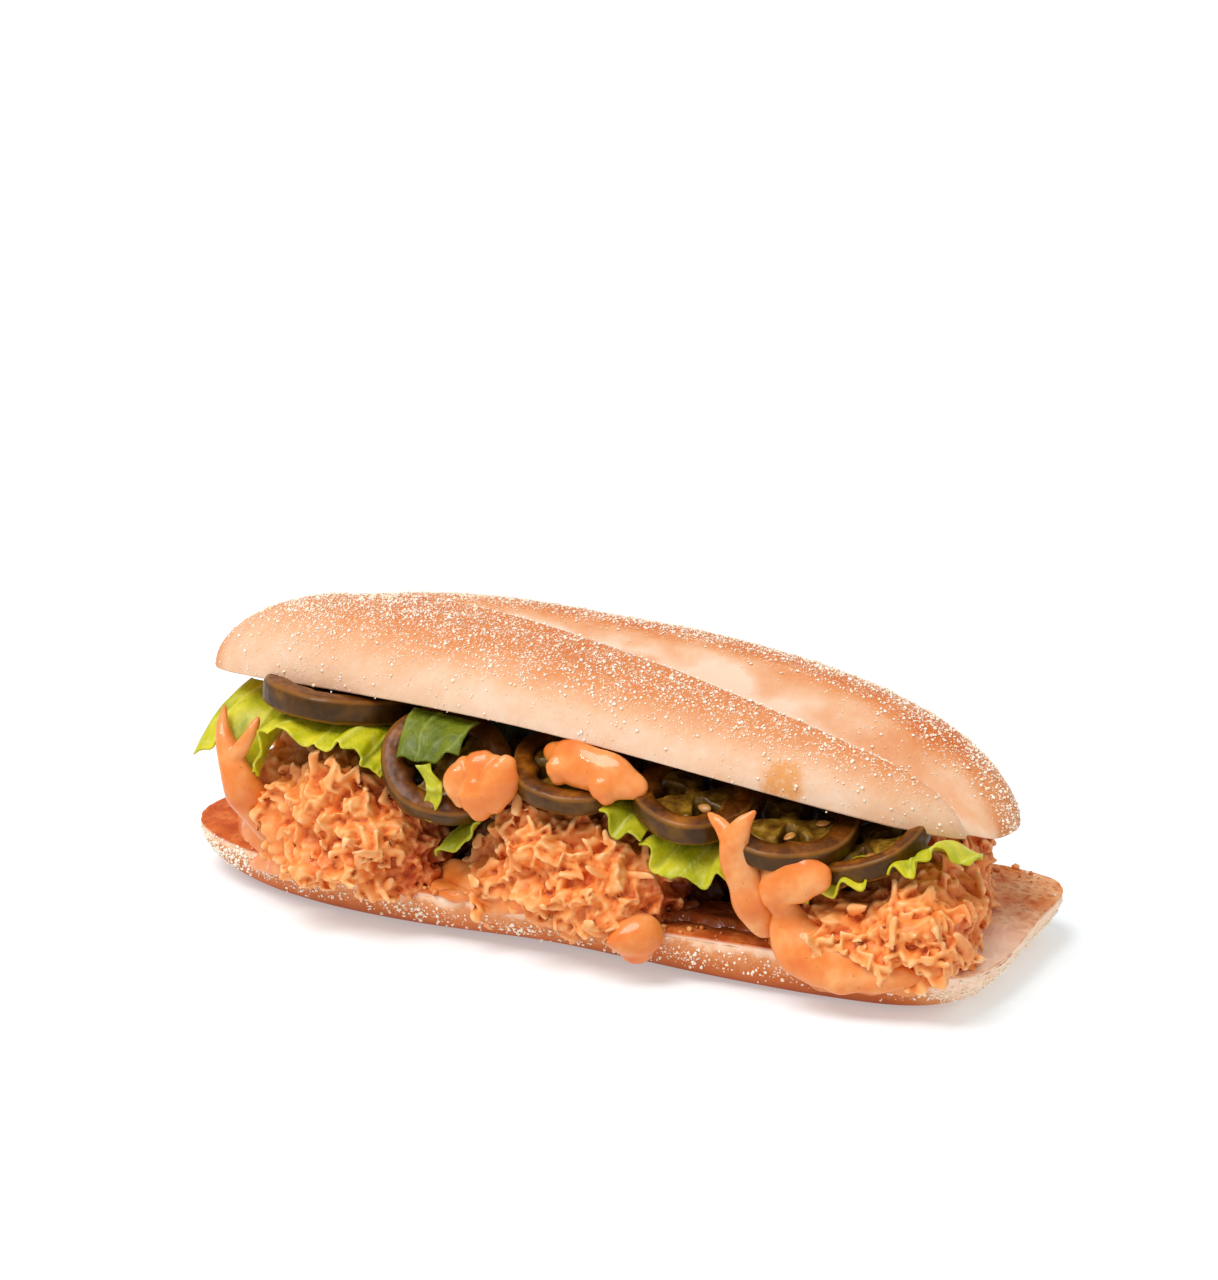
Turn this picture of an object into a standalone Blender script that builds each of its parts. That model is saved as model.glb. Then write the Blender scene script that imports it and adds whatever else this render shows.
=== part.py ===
"""Submarine sandwich: a split, scored roll filled with crispy chicken, lettuce, pepper rings and sauce.

The long side runs along X, the near side is -Y, and the sandwich rests on Z = 0.
Sizes below are real sizes in millimetres, and MM turns them into Blender's metres.
"""

import math
from dataclasses import dataclass

import bmesh
import bpy
import numpy as np
from mathutils import Vector
from mathutils.bvhtree import BVHTree

MM = 0.001

# Gap kept between pieces that touch, and the edge lengths under which slivers are collapsed, coarse first
CLEARANCE = 0.4
SLIVERS = (0.05, 0.02, 0.004)

# Bottom half of the roll: outline, height of the toasted cut face and undercut of the flat base
BASE_LEFT_LENGTH = 99.7
BASE_RIGHT_LENGTH = 102.3
BASE_HALF_WIDTH = 36.6
BASE_HEIGHT = 12.4
BASE_UNDERCUT = 18.0
BASE_LEFT_SQUARENESS = 2.3
BASE_RIGHT_SQUARENESS = 7.0
BASE_SEGMENTS = 38
BASE_RINGS = 12
BASE_CUT_RINGS = 6

# Top half of the roll: outline, place and tilt of its cut face, and the score cut along the crown
CROWN_HALF_LENGTH = 95.5
CROWN_HALF_WIDTH = 35.0
CROWN_LEFT_SQUARENESS = 3.6
CROWN_RIGHT_SQUARENESS = 2.5
CROWN_PLACE = (3.0, 1.0, 48.5)
CROWN_YAW = -0.05
CROWN_PITCH = -0.081
CROWN_ROLL = -0.08
CROWN_ARCH = 8.0
CROWN_HOLLOW = 1.2
NEAR_RIDGE = (16.5, -4.6, 2.8)
FAR_CREST = (17.2, 2.8, 4.2)
NEAR_RIDGE_Y = -14.0
FAR_CREST_Y = 8.0
SCORE_DEPTH = 9.5
SCORE_NEAR_WIDTH = 2.8
SCORE_FAR_WIDTH = 10.0
SCORE_NOTCH = 0.03
CROWN_SEGMENTS = 24
CROWN_RINGS = 26
NEAR_LOBE_SHARE = 8 / 24
FAR_LOBE_SHARE = 10 / 24

# The coarsest grains of the semolina dusting, sunk a little into the crust
GRAIN_COUNT = 18
GRAIN_RADIUS = (0.6, 0.85)
GRAIN_SEED = 11

# The chicken leaves room for salad under the crown's rim, and swells to meet the crown further in
SALAD_ROOM = 6.0
INNER_ROOM = 1.0
INNER_SWELL = 5.0
INNER_HALF_DEPTH = 13.0
CHICKEN_DETAIL = 5
CHICKEN_TRIANGLES = 800
LEAF_THICKNESS = 0.8
LEAF_COLUMNS = 9
LEAF_ROWS = 3
RING_STEPS = (15, 8)
SAUCE_SECTION = 16
SAUCE_VOXEL = 0.7
SAUCE_TRIANGLES = 190

COLOURS = {
    "crust": (0.80, 0.48, 0.24),
    "base_crust": (0.66, 0.30, 0.11),
    "chicken": (0.85, 0.39, 0.13),
    "lettuce": (0.46, 0.56, 0.08),
    "pepper": (0.17, 0.11, 0.03),
    "sauce": (0.86, 0.36, 0.14),
}


@dataclass(frozen=True)
class Chicken:
    """One crispy piece laid across the roll: its box, and how it slopes, leans and widens to the back."""

    name: str
    middle_x: float
    half_length: float
    near_y: float
    far_y: float
    bottom: float
    top_left: float
    top_right: float
    skew: float
    widen: float
    recede: float
    seed: int


@dataclass(frozen=True)
class Ring:
    """A slice of pickled green pepper: centre, radii, thickness and the direction that its face looks in."""

    name: str
    centre: tuple
    radius: float
    hole: float
    thickness: float
    facing: tuple
    seed: int


@dataclass(frozen=True)
class Leaf:
    """A torn lettuce leaf between the edge that is tucked in and the wavy edge that shows."""

    name: str
    tucked: tuple
    edge: tuple
    bow: float
    frill: float
    waves: float


@dataclass(frozen=True)
class Sauce:
    """Runs of sauce joined into one body; a run is a row of (x, y, z, half width, half depth)."""

    name: str
    runs: tuple
    seed: int


CHICKENS = (
    Chicken("chicken_left", -43.5, 22.5, -42.5, 38.0, 7.5, 49.5, 31.0, -0.20, 0.30, 6.0, 3),
    Chicken("chicken_middle", 11.5, 25.5, -43.0, 38.0, 8.0, 42.0, 29.0, -0.12, 0.42, 6.0, 5),
    Chicken("chicken_right", 84.5, 22.5, -41.5, 33.0, 8.0, 26.0, 30.0, -0.40, 0.02, 8.0, 8),
)

RINGS = (
    Ring("pepper_ring_1", (-52.5, -21.0, 49.2), 17.2, 10.2, 6.2, (0.08, 0.08, 1.0), 1),
    Ring("pepper_ring_2", (-20.8, -32.0, 40.3), 14.3, 8.7, 5.8, (0.30, -0.62, 0.72), 2),
    Ring("pepper_ring_3", (8.6, -28.5, 42.2), 14.0, 9.2, 4.8, (0.10, -0.33, 0.94), 3),
    Ring("pepper_ring_4", (36.8, -29.0, 39.6), 13.4, 8.7, 5.6, (0.14, -0.28, 0.95), 4),
    Ring("pepper_ring_5", (58.4, -28.5, 36.8), 15.2, 9.6, 4.8, (0.12, -0.26, 0.96), 5),
    Ring("pepper_ring_6", (75.0, -25.5, 33.2), 12.6, 8.4, 4.8, (-0.24, -0.24, 0.94), 6),
    Ring("pepper_ring_7", (-8.0, 25.0, 41.0), 14.0, 9.0, 5.0, (-0.10, 0.22, 0.97), 7),
    Ring("pepper_ring_8", (48.0, 24.0, 36.5), 13.5, 8.8, 5.0, (-0.06, 0.20, 0.97), 8),
)

LEAVES = (
    Leaf("lettuce_1",
         ((-79.0, -16.0, 48.5), (-64.0, -14.0, 46.5), (-48.0, -15.0, 45.0), (-36.0, -17.0, 44.0)),
         ((-87.0, -29.0, 32.5), (-75.0, -31.0, 37.5), (-68.5, -33.0, 31.0), (-64.5, -37.0, 43.0),
          (-50.0, -40.0, 43.5), (-40.0, -40.0, 43.0), (-33.5, -38.5, 37.5)),
         2.0, 1.0, 4.0),
    Leaf("lettuce_2",
         ((-30.0, -29.0, 51.0), (-22.0, -29.0, 50.5), (-14.0, -29.0, 49.5)),
         ((-29.0, -39.0, 42.5), (-22.0, -40.0, 43.0), (-14.0, -39.0, 45.0)),
         1.6, 0.7, 1.5),
    Leaf("lettuce_3",
         ((-23.0, -41.5, 42.5), (-20.0, -42.5, 38.0), (-22.5, -42.5, 31.0)),
         ((-20.0, -41.5, 43.0), (-16.5, -42.0, 38.0), (-19.5, -42.0, 30.0)),
         0.5, 0.4, 1.0),
    Leaf("lettuce_4",
         ((-16.0, -30.0, 27.5), (-11.0, -30.0, 29.5), (-7.0, -30.0, 32.5)),
         ((-20.5, -38.0, 21.0), (-14.0, -39.0, 25.0), (-8.5, -39.5, 30.5)),
         1.0, 0.8, 1.5),
    Leaf("lettuce_5",
         ((21.0, -26.0, 38.5), (26.0, -26.0, 37.5), (31.0, -26.0, 36.0)),
         ((19.5, -40.0, 37.5), (24.0, -41.0, 33.5), (29.5, -40.5, 33.0)),
         1.2, 0.9, 1.5),
    Leaf("lettuce_6",
         ((30.0, -24.0, 32.0), (40.0, -23.0, 31.0), (50.0, -24.0, 30.0)),
         ((29.0, -40.0, 31.5), (34.0, -40.5, 26.0), (42.0, -40.5, 25.0), (49.5, -40.0, 26.5)),
         3.0, 1.3, 2.5),
    Leaf("lettuce_7",
         ((62.0, -22.0, 29.0), (70.0, -21.0, 29.5), (78.0, -22.0, 29.5)),
         ((61.5, -38.0, 23.5), (70.0, -39.0, 26.5), (79.0, -38.0, 29.5)),
         2.8, 0.9, 3.0),
    Leaf("lettuce_8",
         ((84.0, -17.0, 32.0), (90.0, -16.0, 31.0), (96.0, -15.0, 30.0)),
         ((83.0, -35.5, 31.0), (89.0, -36.0, 33.5), (93.0, -34.5, 38.0), (98.0, -29.0, 33.0)),
         2.0, 0.8, 3.0),
    Leaf("lettuce_9",
         ((-78.0, 12.0, 47.0), (-38.0, 12.0, 44.5), (2.0, 12.0, 41.5), (40.0, 12.0, 38.0)),
         ((-84.0, 30.0, 36.0), (-66.0, 38.0, 40.0), (-50.0, 40.0, 37.0), (-34.0, 39.5, 40.0),
          (-16.0, 39.5, 34.5), (2.0, 39.0, 37.5), (18.0, 40.0, 32.5), (30.0, 39.5, 35.0), (42.0, 37.0, 30.0)),
         2.4, 1.5, 7.0),
    Leaf("lettuce_10",
         ((-42.0, -9.0, 50.0), (-26.0, -9.0, 49.5), (-8.0, -10.0, 47.5)),
         ((-42.0, -15.0, 15.0), (-27.0, -20.0, 15.0), (-8.0, -15.0, 14.5)),
         1.0, 1.5, 3.0),
)

SAUCES = (
    Sauce("sauce_left", (
        ((-79.5, -27.5, 45.6, 1.8, 1.1), (-78.0, -30.8, 41.4, 2.4, 1.4), (-75.2, -33.2, 36.0, 3.8, 2.0),
         (-72.4, -34.2, 31.0, 4.6, 2.8), (-70.4, -33.0, 26.6, 4.9, 3.4), (-68.5, -28.0, 18.0, 3.4, 3.0),
         (-68.0, -26.0, 14.8, 4.0, 2.6)),
        ((-68.6, -31.2, 45.2, 1.4, 1.0), (-69.4, -33.2, 41.6, 1.9, 1.3), (-72.4, -34.2, 36.2, 3.0, 1.8)),
        ((-86.0, -10.0, 13.8, 4.0, 1.4), (-76.0, -20.0, 14.4, 8.0, 2.4), (-66.0, -27.0, 14.2, 7.0, 2.2),
         (-57.0, -34.0, 13.6, 4.0, 1.6)),
    ), 21),
    Sauce("sauce_blob", (
        ((-12.0, -37.0, 38.5, 5.0, 2.8), (-8.5, -38.5, 39.5, 6.8, 3.2), (-4.5, -38.0, 41.5, 6.2, 3.0)),
        ((-13.0, -39.0, 44.6, 2.6, 2.0), (-13.2, -41.0, 40.0, 3.4, 2.4), (-12.6, -41.0, 35.5, 2.8, 2.0)),
        ((-8.5, -41.2, 39.0, 4.4, 2.4), (-8.0, -41.3, 33.6, 3.2, 2.2)),
        ((-2.5, -39.5, 45.6, 3.2, 2.0), (-3.6, -41.0, 41.0, 4.2, 2.4), (-4.6, -41.2, 35.4, 3.0, 2.2)),
    ), 22),
    Sauce("sauce_under_crown", (
        ((5.0, -33.0, 46.8, 3.4, 2.0), (11.0, -35.5, 46.2, 4.6, 2.4), (19.0, -36.5, 44.6, 4.6, 2.6),
         (27.0, -36.5, 42.6, 4.2, 2.4)),
        ((8.5, -36.0, 46.0, 3.0, 1.9), (9.0, -37.4, 42.4, 2.6, 1.7)),
        ((19.5, -38.0, 44.0, 3.8, 2.0), (21.0, -38.8, 40.2, 2.8, 1.8)),
    ), 23),
    Sauce("sauce_pool", (
        ((-30.0, -24.0, 13.6, 3.0, 1.4), (-20.0, -30.0, 14.4, 5.4, 2.4), (-8.0, -34.5, 14.0, 5.0, 2.4),
         (4.0, -36.5, 13.6, 3.2, 1.8)),
    ), 24),
    Sauce("sauce_drip", (
        ((26.0, -38.5, 15.0, 3.6, 2.2), (28.5, -41.0, 11.5, 6.2, 3.0), (28.5, -40.0, 7.5, 5.0, 3.2)),
    ), 25),
    Sauce("sauce_stream", (
        ((55.5, -41.0, 42.5, 1.2, 0.9), (53.2, -42.6, 39.0, 2.5, 1.4), (52.2, -42.8, 33.5, 3.3, 2.0),
         (54.0, -41.0, 25.5, 3.9, 3.0), (57.0, -38.5, 17.5, 5.6, 4.2)),
        ((45.5, -41.2, 40.8, 1.0, 0.8), (49.2, -42.5, 38.6, 1.7, 1.1), (52.0, -42.8, 35.0, 2.7, 1.6)),
    ), 26),
    Sauce("sauce_right", (
        ((57.5, -38.0, 30.0, 4.6, 2.8), (62.5, -40.0, 29.4, 6.2, 3.0), (69.5, -39.5, 29.8, 4.8, 2.6)),
        ((60.0, -40.2, 29.0, 4.2, 2.6), (61.0, -39.6, 22.5, 4.0, 3.0)),
        ((61.5, -38.5, 22.5, 3.8, 3.0), (63.0, -38.5, 18.0, 4.8, 3.2), (66.0, -40.0, 14.4, 5.8, 3.0),
         (73.0, -40.5, 12.0, 5.6, 2.8), (82.0, -40.0, 10.8, 4.4, 2.4), (91.0, -38.5, 11.2, 2.6, 1.9)),
    ), 27),
)


def waves(points, length, seed, count=6):
    """Smooth irregular field of about -1 to 1: plane waves of about one length in seeded directions."""
    rng = np.random.default_rng(seed)
    headings = rng.normal(size=(count, 3))
    headings /= np.linalg.norm(headings, axis=1)[:, None]
    lengths = length * rng.uniform(0.7, 1.4, count)
    phases = rng.uniform(0.0, 2.0 * math.pi, count)
    angles = points @ (headings.T * 2.0 * math.pi / lengths) + phases
    return np.sin(angles).sum(axis=1) / math.sqrt(count)


def crags(points, length, seed):
    """Sharp crests with broad hollows between them, as flaky batter has, about 0 to 1."""
    return 1.0 - np.minimum(np.abs(waves(points, length, seed)) * 1.3, 1.0)


def smooth_step(value, low, high):
    """Rise from 0 at low to 1 at high without a corner."""
    share = np.clip((value - low) / (high - low), 0.0, 1.0)
    return share * share * (3.0 - 2.0 * share)


def along(route, share):
    """Read a smooth curve through the route's rows at shares from 0 to 1 of its way."""
    rows = np.asarray(route, dtype=float)
    last = len(rows) - 1
    padded = np.vstack([2.0 * rows[0] - rows[1], rows, 2.0 * rows[-1] - rows[-2]])
    place = np.clip(share, 0.0, 1.0) * last
    start = np.minimum(place.astype(int), last - 1)
    part = (place - start)[:, None]
    before, here, after, beyond = (padded[start + step] for step in range(4))
    slope = after - before
    bend = 2.0 * before - 5.0 * here + 4.0 * after - beyond
    twist = 3.0 * here - before - 3.0 * after + beyond
    return here + 0.5 * (slope * part + bend * part**2 + twist * part**3)


def unit(vectors):
    """Scale each row to length 1."""
    return vectors / np.maximum(np.linalg.norm(vectors, axis=-1, keepdims=True), 1e-9)


# Crown: the top half of the roll, in its own frame before it is placed

def crown_reach(x, y):
    """0 at the middle of the crown, 1 on its outline."""
    power = np.where(x < 0.0, CROWN_LEFT_SQUARENESS, CROWN_RIGHT_SQUARENESS)
    across = np.abs(y / CROWN_HALF_WIDTH) ** power
    return (np.abs(x / CROWN_HALF_LENGTH) ** power + across) ** (1.0 / power)


def crown_half_width(x):
    """Half width of the outline at a place along the crown."""
    power = np.where(x < 0.0, CROWN_LEFT_SQUARENESS, CROWN_RIGHT_SQUARENESS)
    left_over = np.clip(1.0 - np.abs(x / CROWN_HALF_LENGTH) ** power, 0.0, 1.0)
    return CROWN_HALF_WIDTH * left_over ** (1.0 / power)


def score_line(x):
    """Where the score runs: near the middle at the left, drifting to the near side at the right."""
    return -2.0 - 12.0 * smooth_step(x, -70.0, 92.0) + 3.0 * smooth_step(x, 64.0, 90.0)


def crown_height(x, y):
    """Height of the crust over the cut face: a rounded loaf with the score pressed into it."""
    u = x / CROWN_HALF_LENGTH
    near = NEAR_RIDGE[0] + NEAR_RIDGE[1] * u + NEAR_RIDGE[2] * u * u
    far = FAR_CREST[0] + FAR_CREST[1] * u + FAR_CREST[2] * u * u
    body = near + (far - near) * smooth_step(y, NEAR_RIDGE_Y, FAR_CREST_Y)
    offset = y - score_line(x)
    full = smooth_step(x, 35.0, 80.0) * (1.0 - smooth_step(offset, -3.0, 3.0))
    rounding = np.clip(1.0 - crown_reach(x, y) ** (3.2 + 2.2 * full), 0.0, 1.0) ** (0.55 - 0.11 * full)
    width = np.where(offset < 0.0, SCORE_NEAR_WIDTH, SCORE_FAR_WIDTH)
    score = SCORE_DEPTH * np.exp(-(offset / width) ** 2) * smooth_step(x, -82.0, -45.0)
    return rounding * (body - score)


def crown_to_world(x, y, height):
    """Turn, tilt and arch the crown's own frame into the sandwich's frame."""
    turn_cos, turn_sin = math.cos(CROWN_YAW), math.sin(CROWN_YAW)
    base = CROWN_PLACE[2] + x * CROWN_PITCH + y * CROWN_ROLL - CROWN_ARCH * (x / CROWN_HALF_LENGTH) ** 2
    world_x = x * turn_cos - y * turn_sin + CROWN_PLACE[0]
    world_y = x * turn_sin + y * turn_cos + CROWN_PLACE[1]
    return np.stack([world_x, world_y, base + height], axis=-1)


def crown_underside(world_x, world_y):
    """Height of the crown's cut face over a point, and how near that point is to its outline."""
    turn_cos, turn_sin = math.cos(CROWN_YAW), math.sin(CROWN_YAW)
    from_x, from_y = world_x - CROWN_PLACE[0], world_y - CROWN_PLACE[1]
    x = from_x * turn_cos + from_y * turn_sin
    y = from_y * turn_cos - from_x * turn_sin
    height = CROWN_PLACE[2] + x * CROWN_PITCH + y * CROWN_ROLL - CROWN_ARCH * (x / CROWN_HALF_LENGTH) ** 2
    return height, crown_reach(x, y)


def crown_surface(directions):
    """Place a ball's directions on the crown: near lobe, score, far lobe, then back along the cut face."""
    x = CROWN_HALF_LENGTH * directions[:, 0]
    half = crown_half_width(x)
    turn = np.mod(np.arctan2(directions[:, 2], -directions[:, 1]) / (2.0 * math.pi), 1.0)
    valley = np.clip(score_line(x), -0.7 * half, 0.7 * half)
    far_end = NEAR_LOBE_SHARE + FAR_LOBE_SHARE
    near_part = np.clip(turn / NEAR_LOBE_SHARE, 0.0, 1.0)
    far_part = np.clip((turn - NEAR_LOBE_SHARE) / FAR_LOBE_SHARE, 0.0, 1.0)
    under_part = np.clip((turn - far_end) / (1.0 - far_end), 0.0, 1.0)
    near_y = -half + (valley + half) * 0.5 * (1.0 - np.cos(math.pi * near_part))
    far_y = valley + (half - valley) * 0.5 * (1.0 - np.cos(math.pi * far_part))
    under_y = half * np.cos(math.pi * under_part)
    y = np.where(turn < NEAR_LOBE_SHARE, near_y, np.where(turn < far_end, far_y, under_y))
    inside = 1.0 - crown_reach(x, y) ** 4
    height = np.where(turn < far_end, crown_height(x, y), CROWN_HOLLOW * np.clip(inside, 0.0, 1.0))
    notch = SCORE_NOTCH * np.exp(-((y - score_line(x)) / 2.4) ** 2) * smooth_step(x, 40.0, 92.0)
    return crown_to_world(x * (1.0 - notch), y, height)


# Bottom half of the roll

def base_surface(directions):
    """Place a ball's directions on the bottom half: cut face, rounded side, then the flat base."""
    angle = np.arctan2(directions[:, 1], directions[:, 0])
    tilt = np.arccos(np.clip(directions[:, 2], -1.0, 1.0)) / math.pi
    edge = BASE_CUT_RINGS / BASE_RINGS
    foot = (BASE_RINGS - 2) / BASE_RINGS
    power = np.where(np.cos(angle) < 0.0, BASE_LEFT_SQUARENESS, BASE_RIGHT_SQUARENESS)
    push = (np.abs(np.cos(angle)) ** power + np.abs(np.sin(angle)) ** power) ** (-1.0 / power)
    length = np.where(np.cos(angle) < 0.0, BASE_LEFT_LENGTH, BASE_RIGHT_LENGTH)
    outline_x = length * np.cos(angle) * push
    outline_y = BASE_HALF_WIDTH * np.sin(angle) * push
    face = np.sin(0.5 * math.pi * np.clip(tilt / edge, 0.0, 1.0))
    bend = 0.5 * math.pi * np.clip((tilt - edge) / (foot - edge), 0.0, 1.0)
    inset = BASE_UNDERCUT * (1.0 - np.cos(bend))
    under = np.clip((1.0 - tilt) / (1.0 - foot), 0.0, 1.0)
    share = np.where(tilt < edge, face, under)
    reach = np.hypot(outline_x, outline_y)
    scale = share * (reach - inset) / reach
    uneven = waves(np.stack([outline_x * share, outline_y * share, 0.0 * share], axis=-1), 40.0, 2)
    top = BASE_HEIGHT + 0.3 * uneven * (1.0 - share**4) - 0.7 * smooth_step(share, 0.94, 1.0)
    side = (BASE_HEIGHT - 0.7) * (1.0 - np.sin(bend))
    height = np.where(tilt < edge, top, side)
    return np.stack([outline_x * scale, outline_y * scale, height], axis=-1)


# Fillings

def chicken_surface(directions, piece):
    """Place a ball's directions on a squarish lump, then raise crags of batter on it."""
    squareness = 3.2
    box = directions * ((np.abs(directions) ** squareness).sum(axis=1) ** (-1.0 / squareness))[:, None]
    middle_y = 0.5 * (piece.near_y + piece.far_y)
    y = middle_y + 0.5 * (piece.far_y - piece.near_y) * box[:, 1]
    back = (y - piece.near_y) / (piece.far_y - piece.near_y)
    half = piece.half_length * (1.0 + piece.widen * smooth_step(back, 0.1, 0.5))
    x = piece.middle_x + piece.skew * (y - piece.near_y) + half * box[:, 0]
    slope = 0.5 + 0.5 * box[:, 0]
    top = piece.top_left + (piece.top_right - piece.top_left) * slope
    roof, reach = crown_underside(x, y)
    inner = 1.0 - smooth_step(np.abs(y), INNER_HALF_DEPTH - 8.0, INNER_HALF_DEPTH + 2.0)
    inner = inner * (1.0 - smooth_step(reach, 0.75, 0.92))
    top = top + (roof + INNER_SWELL - top) * inner
    level = 0.5 * (piece.bottom + min(piece.top_left, piece.top_right))
    reach_up = np.where(box[:, 2] > 0.0, top - level, level - piece.bottom)
    z = level + reach_up * box[:, 2]
    y = y + piece.recede * np.clip(-box[:, 1], 0.0, 1.0) * np.clip((z - piece.bottom - 8.0) / 28.0, 0.0, 1.0)
    place = np.stack([x, y, z], axis=-1)
    relief = 2.0 * waves(place, 26.0, piece.seed) + 2.6 * (crags(place, 17.0, piece.seed + 1) - 0.45)
    relief = relief + 1.5 * (crags(place, 8.5, piece.seed + 2) - 0.45)
    place = place + directions * relief[:, None]
    roof, reach = crown_underside(place[:, 0], place[:, 1])
    roof = roof - SALAD_ROOM + (SALAD_ROOM - INNER_ROOM) * inner + 90.0 * np.clip(reach - 0.97, 0.0, 1.0)
    place[:, 2] = np.minimum(place[:, 2], roof)
    return place


def ring_surface(angles, sides, ring):
    """Carry a squarish section round a slightly uneven circle and face it the ring's way."""
    wall = 0.5 * (ring.radius - ring.hole)
    wobble = 1.0 + 0.035 * np.sin(2.0 * angles + ring.seed) + 0.02 * np.sin(5.0 * angles + 2.0 * ring.seed)
    cos, sin = np.cos(sides), np.sin(sides)
    push = (np.abs(cos) ** 4 + np.abs(sin) ** 4) ** -0.25
    reach = (ring.hole + wall) * wobble + wall * cos * push
    rise = 0.5 * ring.thickness * sin * push
    facing = unit(np.array(ring.facing, dtype=float))
    right = unit(np.cross((0.0, 1.0, 0.0), facing))
    up = np.cross(facing, right)
    flat = np.cos(angles)[:, None] * right + np.sin(angles)[:, None] * up
    return np.array(ring.centre) + flat * reach[:, None] + facing * rise[:, None]


def leaf_surface(share, across, leaf):
    """Span the leaf from its tucked edge to its showing edge, bowed between them and frilled outwards."""
    tucked = along(leaf.tucked, share)
    edge = along(leaf.edge, share)
    way = across[:, None]
    place = tucked + (edge - tucked) * way
    step = 0.01
    ahead = along(leaf.edge, share + step) - along(leaf.edge, share - step)
    normal = unit(np.cross(ahead, edge - tucked))
    normal = normal * np.where(normal[:, 2:3] < 0.0, -1.0, 1.0)
    bow = leaf.bow * np.sin(math.pi * across)
    frill = leaf.frill * across**2 * np.sin(2.0 * math.pi * leaf.waves * share)
    return place + normal * (bow + frill)[:, None]


def sauce_surface(directions, run, seed):
    """Carry an oval along a run of sauce, rounded off at both ends and a little lumpy."""
    share = 0.5 * (1.0 + directions[:, 0])
    rows = along(run, share)
    step = 0.02
    heading = unit(along(run, share + step)[:, :3] - along(run, share - step)[:, :3])
    view = np.array((0.4, -0.9, 0.25))
    side = unit(np.cross(heading, view))
    front = np.cross(side, heading)
    swell = np.sqrt(np.clip(1.0 - np.abs(directions[:, 0]) ** 5, 0.0, 1.0))
    turn = np.arctan2(directions[:, 2], directions[:, 1])
    lump = 1.0 + 0.07 * waves(rows[:, :3] + 4.0 * directions, 9.0, seed)
    wide = rows[:, 3] * swell * lump * np.cos(turn)
    deep = rows[:, 4] * swell * lump * np.sin(turn)
    ends = rows[:, 3] * 0.55 * np.sign(directions[:, 0]) * smooth_step(np.abs(directions[:, 0]), 0.8, 1.0)
    return rows[:, :3] + side * wide[:, None] + front * deep[:, None] + heading * ends[:, None]


# Meshes

def principled(name, colour, roughness):
    """A plain surface with the piece's own colour."""
    material = bpy.data.materials.new(name)
    material.use_nodes = True
    shader = material.node_tree.nodes["Principled BSDF"]
    shader.inputs["Base Color"].default_value = (*colour, 1.0)
    shader.inputs["Roughness"].default_value = roughness
    shader.inputs["Metallic"].default_value = 0.0
    return material


def number_by_place(mesh):
    """Number a mesh's points and faces by where they lie, so that every build comes out the same."""
    points = np.array([vert.co[:] for vert in mesh.vertices])
    order = np.lexsort(points.T)
    rank = np.argsort(order)
    faces = []
    for polygon in mesh.polygons:
        corners = [int(rank[index]) for index in polygon.vertices]
        first = corners.index(min(corners))
        faces.append(corners[first:] + corners[:first])
    mesh.clear_geometry()
    mesh.from_pydata(points[order].tolist(), [], sorted(faces))


def new_object(name, shape, collection):
    """Wrap a bmesh as an object in the collection."""
    mesh = bpy.data.meshes.new(name)
    shape.to_mesh(mesh)
    shape.free()
    number_by_place(mesh)
    thing = bpy.data.objects.new(name, mesh)
    collection.objects.link(thing)
    return thing


def move_points(shape, places):
    """Put the bmesh's points at the places given in millimetres."""
    for vert, place in zip(shape.verts, places):
        vert.co = Vector(place) * MM


def directions_of(shape):
    """The points of a ball as rows, with its poles turned onto X."""
    return unit(np.array([vert.co[:] for vert in shape.verts])[:, [2, 0, 1]])


def triangulate(shape):
    """Split every face into triangles."""
    bmesh.ops.triangulate(shape, faces=shape.faces[:])


def make_crown(collection):
    """The top half, with the coarsest grains of its dusting fused on."""
    shape = bmesh.new()
    bmesh.ops.create_uvsphere(shape, u_segments=CROWN_SEGMENTS, v_segments=CROWN_RINGS, radius=1.0)
    move_points(shape, crown_surface(directions_of(shape)))
    triangulate(shape)
    crown = new_object("top_bun", shape, collection)
    fuse(crown, make_grains(collection))
    drop_slivers(crown)
    return crown


def make_grains(collection):
    """Small round grains spread by a seeded rule over the two crests, each a third sunk in."""
    rng = np.random.default_rng(GRAIN_SEED)
    grains = []
    columns = GRAIN_COUNT // 2
    for number in range(GRAIN_COUNT):
        x = -84.0 + 168.0 * (number % columns + rng.uniform(0.2, 0.8)) / columns
        if number < columns:
            y = score_line(np.float64(x)) - rng.uniform(6.0, 14.0)
        else:
            y = rng.uniform(8.0, 20.0)
        reach = crown_reach(x, y)
        if reach > 0.93:
            continue
        radius = rng.uniform(*GRAIN_RADIUS)
        grain = bmesh.new()
        bmesh.ops.create_icosphere(grain, subdivisions=1, radius=1.0)
        centre = crown_to_world(x, y, crown_height(x, y) + 0.35 * radius)
        stretch = rng.uniform(0.8, 1.2, 3)
        points = np.array([vert.co[:] for vert in grain.verts])
        move_points(grain, centre + points * radius * stretch)
        grains.append(new_object(f"grain_{number}", grain, collection))
    return grains


def make_base(collection):
    """The bottom half of the roll."""
    shape = bmesh.new()
    bmesh.ops.create_uvsphere(shape, u_segments=BASE_SEGMENTS, v_segments=BASE_RINGS, radius=1.0)
    directions = unit(np.array([vert.co[:] for vert in shape.verts]))
    move_points(shape, base_surface(directions))
    triangulate(shape)
    return new_object("bottom_bun", shape, collection)


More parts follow.
